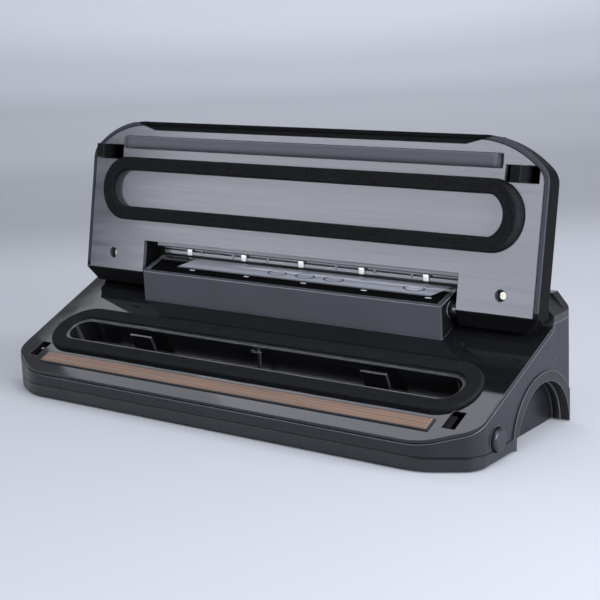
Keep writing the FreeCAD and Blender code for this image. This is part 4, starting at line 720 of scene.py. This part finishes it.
# Touch overlay: glossy black film on top of the control box. Its rear half carries a painted
# reflection, a grey field with slanted ends that fades out to the front. The keys are ringed
# ovals, the last one pale, and in front of them lie painted reflections of the clips, pale dashes.
PANEL_SLOPE = math.radians(18.6)
PANEL_START = np.array((0.0, 0.0191, 0.07906))
PANEL_BLACK = (0.006, 0.006, 0.0066)
PANEL_GLOSS = (0.03, 0.06)
PANEL_WIPE = 0.008
PANEL_STREAK = (6.0, 1.0, 1.0)
PANEL_WAVE = 0.03
KEY_INK = (0.03, 0.035, 0.12)
PALE_KEY_AND_REFLECTION = (0.86, 0.87, 0.92)
REFLECTION_GREY = (0.56, 0.575, 0.63)
REFLECTION_FADE = (0.0095, 0.0125)
REFLECTION_ENDS = (-0.1104, 0.1085)
REFLECTION_SLANT = 0.65
REFLECTION_BLUR = 0.0004
KEY_RINGS = [(x, 0.0168, 0.0078, 0.0029) for x in (-0.0149, 0.0094, 0.0338)]
PALE_KEY = (0.0987, 0.0172, 0.0078, 0.0032)
PALE_KEY_FADE = (0.55, 0.95)
RING_HALF = 0.11
CLIP_REFLECTION_ROW = 0.0080
CLIP_REFLECTION_FIRST = 0.014
CLIP_REFLECTION_PITCH = 0.0505
CLIP_REFLECTION_HALF_LENGTH = 0.0027
CLIP_REFLECTION_HALF_WIDTH = 0.0007


def oval(tree, plane, key):
    """Distance from a key's middle, 1 on its oval outline."""
    x, y, half_x, half_y = key
    place = tree.nodes.new("ShaderNodeMapping")
    place.inputs["Scale"].default_value = (1.0 / half_x, 1.0 / half_y, 0.0)
    place.inputs["Location"].default_value = (-x / half_x, -y / half_y, 0.0)
    tree.links.new(plane, place.inputs["Vector"])
    length = tree.nodes.new("ShaderNodeVectorMath")
    length.operation = "LENGTH"
    tree.links.new(place.outputs["Vector"], length.inputs[0])
    return length.outputs["Value"]


panel_finish, tree, shader = shader_of("touch_overlay", PANEL_BLACK, roughness=0.05)
plane = sloped_plane(tree, PANEL_SLOPE, PANEL_START)
on_panel = axes_of(tree, plane)
# Painted reflection: a grey field with slanted ends over the rear half, fading to the front.
slide = math_node(tree, "MULTIPLY", on_panel["Y"], REFLECTION_SLANT)
slanted = math_node(tree, "SUBTRACT", on_panel["X"], slide)
painted_reflection = ranged(tree, on_panel["Y"], 0.0, 1.0, *REFLECTION_FADE)
for end, sign in zip(REFLECTION_ENDS, (1.0, -1.0)):
    inside = math_node(tree, "MULTIPLY", math_node(tree, "SUBTRACT", slanted, end), sign)
    within = ranged(tree, inside, 0.0, 1.0, -REFLECTION_BLUR, REFLECTION_BLUR)
    painted_reflection = math_node(tree, "MULTIPLY", painted_reflection, within)
tree.links.new(tinted(tree, painted_reflection, PANEL_BLACK, REFLECTION_GREY), shader.inputs["Base Color"])
rings = highest(tree, [band(tree, oval(tree, plane, key), 1.0, RING_HALF)
                       for key in KEY_RINGS + [PALE_KEY]])
painted(tree, shader, rings, KEY_INK)
# Painted reflections of the clips: short pale dashes in a row, one clip pitch apart.
near_clip_reflection = math_node(tree, "WRAP", math_node(tree, "SUBTRACT", on_panel["X"], CLIP_REFLECTION_FIRST),
                      CLIP_REFLECTION_PITCH / 2, -CLIP_REFLECTION_PITCH / 2)
marks = math_node(tree, "MULTIPLY", band(tree, near_clip_reflection, 0.0, CLIP_REFLECTION_HALF_LENGTH),
                  band(tree, on_panel["Y"], CLIP_REFLECTION_ROW, CLIP_REFLECTION_HALF_WIDTH))
pale_face = ranged(tree, oval(tree, plane, PALE_KEY), 1.0, 0.0, *PALE_KEY_FADE)
painted(tree, shader, highest(tree, [pale_face, marks]), PALE_KEY_AND_REFLECTION)
wipes = noise(tree, PANEL_WIPE, detail=4.0, stretch=PANEL_STREAK)
gloss = ranged(tree, wipes, *PANEL_GLOSS)
tree.links.new(gloss, shader.inputs["Roughness"])
relief(tree, shader, noise(tree, PANEL_WAVE, detail=1.0), depth=0.00001, edge=0.0006)
dress(panel_finish, "control_panel")


# Ridge behind the lid: semi-gloss black moulding whose front wall carries a polished grey rail with
# a groove along it, darkened with painted shade. Bright metal clips sit on the rail, each with a
# black block beside it as a painted shadow spot, and small moulded studs stand between them.
RIDGE_BLACK = (0.016, 0.0165, 0.018)
RIDGE_FACE = 0.0448
RAIL_GREY = (0.25, 0.258, 0.29)
RAIL_HALF = 0.1285
RAIL_LOW = 0.0883
RAIL_TOP = 0.0927
RAIL_OUT = 0.0005
RAIL_LEAN = 0.0006
RAIL_GRID = (60, 40)
GROOVE_MIDDLE = 0.0912
GROOVE_DEPTH = 0.0004
GROOVE_SPREAD = 0.0004
GROOVE_HALF = 0.0007
GROOVE_SHADE = (0.008, 0.0083, 0.009)
LEVEL_STREAK = (30.0, 1.0, 1.0)
CLIP_PLACES = np.arange(-2, 3) * 0.0516
CLIP_BRIGHT = (0.86, 0.85, 0.82)
CLIP_MIDDLE = 0.09025
CLIP_HALF = np.array((0.0024, 0.0009, 0.0023))
SHADOW_SPOT_BLACK = (0.006, 0.006, 0.0065)
SHADOW_SPOT_ASIDE = 0.0037
SHADOW_SPOT_OUT = 0.0007
SHADOW_SPOT_MIDDLE = 0.0921
SHADOW_SPOT_HALF = np.array((0.0008, 0.0006, 0.0008))
SHADOW_SPOT_POWER = 0.5
STUD_PLACES = np.array((-0.092, -0.0618, -0.030, 0.030, 0.0618, 0.092))
STUD_GREY = (0.36, 0.37, 0.40)
STUD_OUT = 0.0008
STUD_MIDDLE = 0.0905
STUD_HALF = np.array((0.0014, 0.0006, 0.0018))
STUD_POWER = 0.8
STUD_TIP = 0.25
BLOCK_ROWS = 17
BLOCK_COLUMNS = 28
WELD_REACH = 1e-6


def powered(value, power):
    """Power of a value's size, with the value's own sign."""
    return np.sign(value) * np.abs(value) ** power


def rounded_block(centre, half, power=0.28):
    """Superellipsoid: half sizes times signed powers of the sines and cosines of two angles."""
    tilt = np.linspace(-math.pi / 2, math.pi / 2, BLOCK_ROWS)[:, None]
    turn = np.linspace(0.0, 2 * math.pi, BLOCK_COLUMNS, endpoint=False)[None, :]
    shape = np.stack((powered(np.cos(tilt), power) * powered(np.cos(turn), power),
                      powered(np.sin(tilt), power) * np.ones_like(turn),
                      -powered(np.cos(tilt), power) * powered(np.sin(turn), power)), 2)
    return np.asarray(centre) + shape * half


def drop(x):
    """Rounded stud drawn to a point below: its width grows with the height above its tip."""
    block = rounded_block((0.0, 0.0, 0.0), STUD_HALF, STUD_POWER)
    above_tip = (block[..., 2] / STUD_HALF[2] + 1.0) / 2.0
    block[..., 0] *= STUD_TIP + (1.0 - STUD_TIP) * above_tip
    return block + (x, RIDGE_FACE - STUD_OUT, STUD_MIDDLE)


def grouped(name, blocks, finish):
    """One piece from several closed blocks with the same grid; their rows run pole to pole."""
    rows, columns = blocks[0].shape[:2]
    faces = grid_faces(rows, columns, closed_columns=True)
    points = np.concatenate([block.reshape(-1, 3) for block in blocks])
    every = np.concatenate([faces + index * rows * columns for index in range(len(blocks))])
    piece = new_piece(name, points, every, finish)
    merge = piece.modifiers.new("poles", "WELD")
    merge.merge_threshold = WELD_REACH
    return piece


def rail_points():
    """Level strip: it stands out more towards its foot, less a bell-shaped groove, and 0 at rims."""
    across = np.linspace(-RAIL_HALF, RAIL_HALF, RAIL_GRID[0])[:, None]
    up = np.linspace(RAIL_LOW, RAIL_TOP, RAIL_GRID[1])
    out = RAIL_OUT + RAIL_LEAN * (RAIL_TOP - up) / (RAIL_TOP - RAIL_LOW)
    out -= GROOVE_DEPTH * np.exp(-((up - GROOVE_MIDDLE) / GROOVE_SPREAD) ** 2)
    out[[0, -1]] = 0.0
    return np.stack(np.broadcast_arrays(across, RIDGE_FACE - out, up), 2)


dress(polished("ridge_black", RIDGE_BLACK, roughness=0.24), "rear_cover")
rail_finish = polished("rail_grey", RAIL_GREY, roughness=0.16, streak=LEVEL_STREAK, edge=0.0002)
tree, shader = nodes_of(rail_finish)
height = axes_of(tree, spot_on(tree))["Z"]
# Painted shade: a dark line along the groove.
painted(tree, shader, band(tree, height, GROOVE_MIDDLE, GROOVE_HALF), GROOVE_SHADE)
rail = new_piece("ridge_rail", rail_points(), grid_faces(*RAIL_GRID), rail_finish)
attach(rail, "base")
clip_blocks = [rounded_block((x, RIDGE_FACE - CLIP_HALF[1], CLIP_MIDDLE), CLIP_HALF)
               for x in CLIP_PLACES]
clips = grouped("ridge_clips", clip_blocks, metal("clip_bright", CLIP_BRIGHT, roughness=0.3))
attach(clips, "base")
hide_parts("cover_clips")
# Painted shadow: black blocks beside the clips stand in for small dark spots of shade.
shadow_spot_blocks = [rounded_block((x, RIDGE_FACE - SHADOW_SPOT_OUT, SHADOW_SPOT_MIDDLE), SHADOW_SPOT_HALF, SHADOW_SPOT_POWER)
               for x in CLIP_PLACES + SHADOW_SPOT_ASIDE]
shadow_spots = grouped("ridge_shadow_spots", shadow_spot_blocks, moulded("shadow_spot_black", SHADOW_SPOT_BLACK, roughness=0.5))
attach(shadow_spots, "base")
stud_blocks = [drop(x) for x in STUD_PLACES]
studs = grouped("ridge_studs", stud_blocks, moulded("stud_grey", STUD_GREY, roughness=0.16))
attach(studs, "base")


# Lid: black outer shell with a greyer rear and a lip round its open side, lightened as a painted
# highlight, and a polished graphite inner plate drawn with faint level streaks, whose grey is
# raised partly as a painted reflection. Two brass screws in dark sinks hold them together.
SHELL_BLACK = (0.0055, 0.0057, 0.0063)
SHELL_REAR = (0.030, 0.0312, 0.0355)
SHELL_ROUGHNESS = 0.45
SHELL_MIRROR = 0.045
SHELL_CLOUD = 0.02
SHELL_DRIFT = (0.85, 1.15)
SHELL_REAR_TURN = (-0.9, -0.6)
SHELL_GRAIN = 0.0005
LIP_HIGHLIGHT_GREY = (0.06, 0.063, 0.072)
LIP_ROUGHNESS = 0.20
LIP_START = (-0.0011, -0.0007)
LIP_FOOT = (0.003, 0.004)
LINER_GRAPHITE = (0.100, 0.104, 0.118)
LINER_LINE = 0.0016
BRASS = (0.60, 0.53, 0.43)
shell_finish, tree, shader = shader_of("lid_shell_black", SHELL_BLACK, SHELL_ROUGHNESS)
shader.inputs["Specular IOR Level"].default_value = SHELL_MIRROR
outward = measured_along(tree, spot_on(tree), LID_OUT)
lip = ranged(tree, outward, 0.0, 1.0, *(float(LID_START @ LID_OUT) + step for step in LIP_START))
climb = measured_along(tree, spot_on(tree), LID_UP)
above = ranged(tree, climb, 0.0, 1.0, *(float(LID_START @ LID_UP) + step for step in LIP_FOOT))
lip = math_node(tree, "MULTIPLY", lip, above)
drift = ranged(tree, noise(tree, SHELL_CLOUD, detail=3.0), *SHELL_DRIFT)
# Painted highlight: the lip round the open side is lightened grey.
lip_highlight = math_node(tree, "MULTIPLY", lip, drift)
tree.links.new(tinted(tree, lip_highlight, SHELL_BLACK, LIP_HIGHLIGHT_GREY), shader.inputs["Base Color"])
facing = measured_along(tree, spot_on(tree, "Normal"), LID_OUT)
turned = ranged(tree, facing, 1.0, 0.0, *SHELL_REAR_TURN)
rear = math_node(tree, "MULTIPLY", turned, drift)
painted(tree, shader, rear, SHELL_REAR)
gloss = ranged(tree, lip, SHELL_ROUGHNESS, LIP_ROUGHNESS, 0.0, 1.0)
tree.links.new(gloss, shader.inputs["Roughness"])
relief(tree, shader, noise(tree, SHELL_GRAIN), depth=0.000008, edge=0.0007)
dress(shell_finish, "lid_outer")
# The plate's grey is partly its own colour and partly a painted reflection of its polish.
liner_finish = polished("liner_graphite", LINER_GRAPHITE, roughness=0.16,
                        streak=LEVEL_STREAK, drawn=LINER_LINE)
dress(liner_finish, "lid_liner")
dress(metal("screw_brass", BRASS, roughness=0.30, stretch=EVEN), "lid_screws")


# Pressure strip: extruded grey silicone, a hollow rounded profile pushed into a groove of the lid's
# inner plate. Its ends are darkened with painted shade.
STRIP_HALF_LENGTH = 0.1595
STRIP_MIDDLE = 0.0965
STRIP_LOW = -0.0013
STRIP_TOP = 0.0042
STRIP_HALF_WIDTH = 0.0044
STRIP_WALL = 0.0010
STRIP_POWER = 0.8
STRIP_STEPS = 60
STRIP_AROUND = 48
SILICONE_GREY = (0.066, 0.071, 0.086)
SILICONE_SHEEN = 0.15
SILICONE_CLOUD = 0.015
SILICONE_STREAK = (8.0, 1.0, 1.0)
SILICONE_SPREAD = 0.1
SILICONE_GRAIN = 0.0005
END_SHADE = (0.02, 0.0205, 0.022)
END_SHADE_DEPTH = (0.0006, 0.0003)


def strip_points(start, end, inset):
    """Superellipse section, drawn in by an inset, at even places along x from start to end."""
    angle = np.linspace(0.0, 2 * math.pi, STRIP_AROUND, endpoint=False)[None, :]
    wide = (STRIP_HALF_WIDTH - inset) * powered(np.cos(angle), STRIP_POWER)
    up = ((STRIP_TOP - STRIP_LOW) / 2 - inset) * powered(np.sin(angle), STRIP_POWER)
    places = np.linspace(start, end, STRIP_STEPS)[:, None]
    return on_face(LID_FACE, places, STRIP_MIDDLE + wide, (STRIP_TOP + STRIP_LOW) / 2 + up)


silicone, tree, shader = shader_of("silicone_grey", SILICONE_GREY, roughness=0.62)
shader.inputs["Sheen Weight"].default_value = SILICONE_SHEEN
cloud = noise(tree, SILICONE_CLOUD, detail=4.0, stretch=SILICONE_STREAK)
tone = tinted(tree, ranged(tree, cloud, 0.0, 1.0),
              scaled(SILICONE_GREY, 1.0 - SILICONE_SPREAD),
              scaled(SILICONE_GREY, 1.0 + SILICONE_SPREAD))
tree.links.new(tone, shader.inputs["Base Color"])
outward = math_node(tree, "ABSOLUTE", axes_of(tree, spot_on(tree))["X"])
# Painted shade: the strip goes dark within a short way of its ends.
end_shade = ranged(tree, outward, 0.0, 1.0, *(STRIP_HALF_LENGTH - depth for depth in END_SHADE_DEPTH))
painted(tree, shader, end_shade, END_SHADE)
grain = noise(tree, SILICONE_GRAIN, stretch=LEVEL_STREAK)
relief(tree, shader, grain, depth=0.00002, edge=0.0004)
outer = strip_points(-STRIP_HALF_LENGTH, STRIP_HALF_LENGTH, 0.0)
inner = strip_points(STRIP_HALF_LENGTH, -STRIP_HALF_LENGTH, STRIP_WALL)
strip = new_piece("pressure_strip", np.concatenate((outer, inner)),
                  grid_faces(2 * STRIP_STEPS, STRIP_AROUND, True, True), silicone)
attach(strip, "lid")
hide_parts("silicone_strip")


# Latches: black moulded hooks on the lid, and the sliding catches inside the base. Each catch is
# pushed out by a spring wound from round steel wire.
HOOK_BLACK = (0.006, 0.0062, 0.007)
HOOK_EDGE = 0.0003
CATCH_BLACK = (0.011, 0.011, 0.012)
LATCH_MIRROR = 0.1
SPRING_STEEL = (0.58, 0.58, 0.59)
SPRING_AXIS = np.array((-0.0291, 0.015))
SPRING_ENDS = np.array((0.1599, 0.1707))
SPRING_RADIUS = 0.00375
SPRING_WIRE = 0.00045
SPRING_TURNS = 6
SPRING_TURN_STEPS = 48
SPRING_WIRE_STEPS = 10


def wound_wire(side):
    """Round wire on a helix along x: axis point + radius on the turn + circle of the wire."""
    steps = SPRING_TURN_STEPS * SPRING_TURNS + 1
    turn = np.linspace(0.0, 2 * math.pi * SPRING_TURNS, steps)[:, None]
    ring = np.linspace(0.0, 2 * math.pi, SPRING_WIRE_STEPS, endpoint=False)[None, :]
    travel = SPRING_ENDS[1] - SPRING_ENDS[0] - 2 * SPRING_WIRE
    run = SPRING_ENDS[0] + SPRING_WIRE + travel * turn / turn[-1]
    reach = SPRING_RADIUS + SPRING_WIRE * np.cos(ring)
    return np.stack((side * (run + SPRING_WIRE * np.sin(ring)),
                     SPRING_AXIS[0] + reach * np.cos(turn),
                     SPRING_AXIS[1] + side * reach * np.sin(turn)), 2)


# The hooks' edges carry a painted highlight: a pale line.
hook_finish = moulded("hook_black", HOOK_BLACK, roughness=0.7, edge=HOOK_EDGE, pale=GLOSS_EDGE_HIGHLIGHT)
dress(mirroring(hook_finish, LATCH_MIRROR), "hook_left", "hook_right")
catch_finish = moulded("catch_black", CATCH_BLACK, roughness=0.55)
dress(mirroring(catch_finish, LATCH_MIRROR), "latch_left", "latch_right")
spring_finish = metal("spring_wire", SPRING_STEEL, roughness=0.3)
for side, hand in ((-1, "left"), (1, "right")):
    wire_points = wound_wire(side)
    rows, columns = wire_points.shape[:2]
    wrap = grid_faces(rows, columns, closed_columns=True).tolist()
    caps = [range(columns - 1, -1, -1), range((rows - 1) * columns, rows * columns)]
    coil = new_piece(f"coil_spring_{hand}", wire_points, wrap + caps, spring_finish)
    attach(coil, "base")
    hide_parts(f"latch_spring_{hand}")
    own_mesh(coil)


# Hinge pins: turned steel with a matt black oxide skin, held in the control box and running in
# the lid.
PIN_OXIDE = (0.006, 0.006, 0.0065)
PIN_MIRROR = 0.12
pin_finish = moulded("pin_oxide", PIN_OXIDE, roughness=0.7)
dress(mirroring(pin_finish, PIN_MIRROR), "hinge_pin_left", "hinge_pin_right")


# Vacuum pump: drawn steel motor can, rotor on its shaft, glass-filled pump head and cradle, and a
# grey hose from the suction port. All of it is inside the base.
CAN_STEEL = (0.5, 0.5, 0.5)
ROTOR_STEEL = (0.4, 0.39, 0.37)
ROTOR_LINES = (1.0, 30.0, 30.0)
PUMP_BLACK = (0.05, 0.05, 0.051)
HOSE_GREY = (0.22, 0.22, 0.23)
dress(metal("can_steel", CAN_STEEL, roughness=0.35), "pump_motor")
dress(metal("rotor_steel", ROTOR_STEEL, roughness=0.42, stretch=ROTOR_LINES), "motor_rotor")
dress(moulded("pump_black", PUMP_BLACK, roughness=0.55, depth=0.00003), "pump_head", "pump_bracket")
dress(moulded("hose_grey", HOSE_GREY, roughness=0.6), "suction_hose")


# Supply and control: varnished transformer and green circuit boards inside the base and the control
# box, and a black moulded mains socket in the rear wall.
VARNISHED_IRON = (0.075, 0.05, 0.038)
BOARD_GREEN = (0.018, 0.12, 0.05)
SOCKET_BLACK = (0.025, 0.025, 0.026)
iron_finish = moulded("varnished_iron", VARNISHED_IRON, roughness=0.4,
                      grain=0.0008, depth=0.00004, spread=0.3)
dress(iron_finish, "transformer")
board_finish = moulded("board_green", BOARD_GREEN, roughness=0.35,
                       grain=0.001, depth=0.00002, spread=0.25)
dress(board_finish, "main_board", "panel_board")
dress(moulded("socket_black", SOCKET_BLACK, roughness=0.4), "power_inlet")
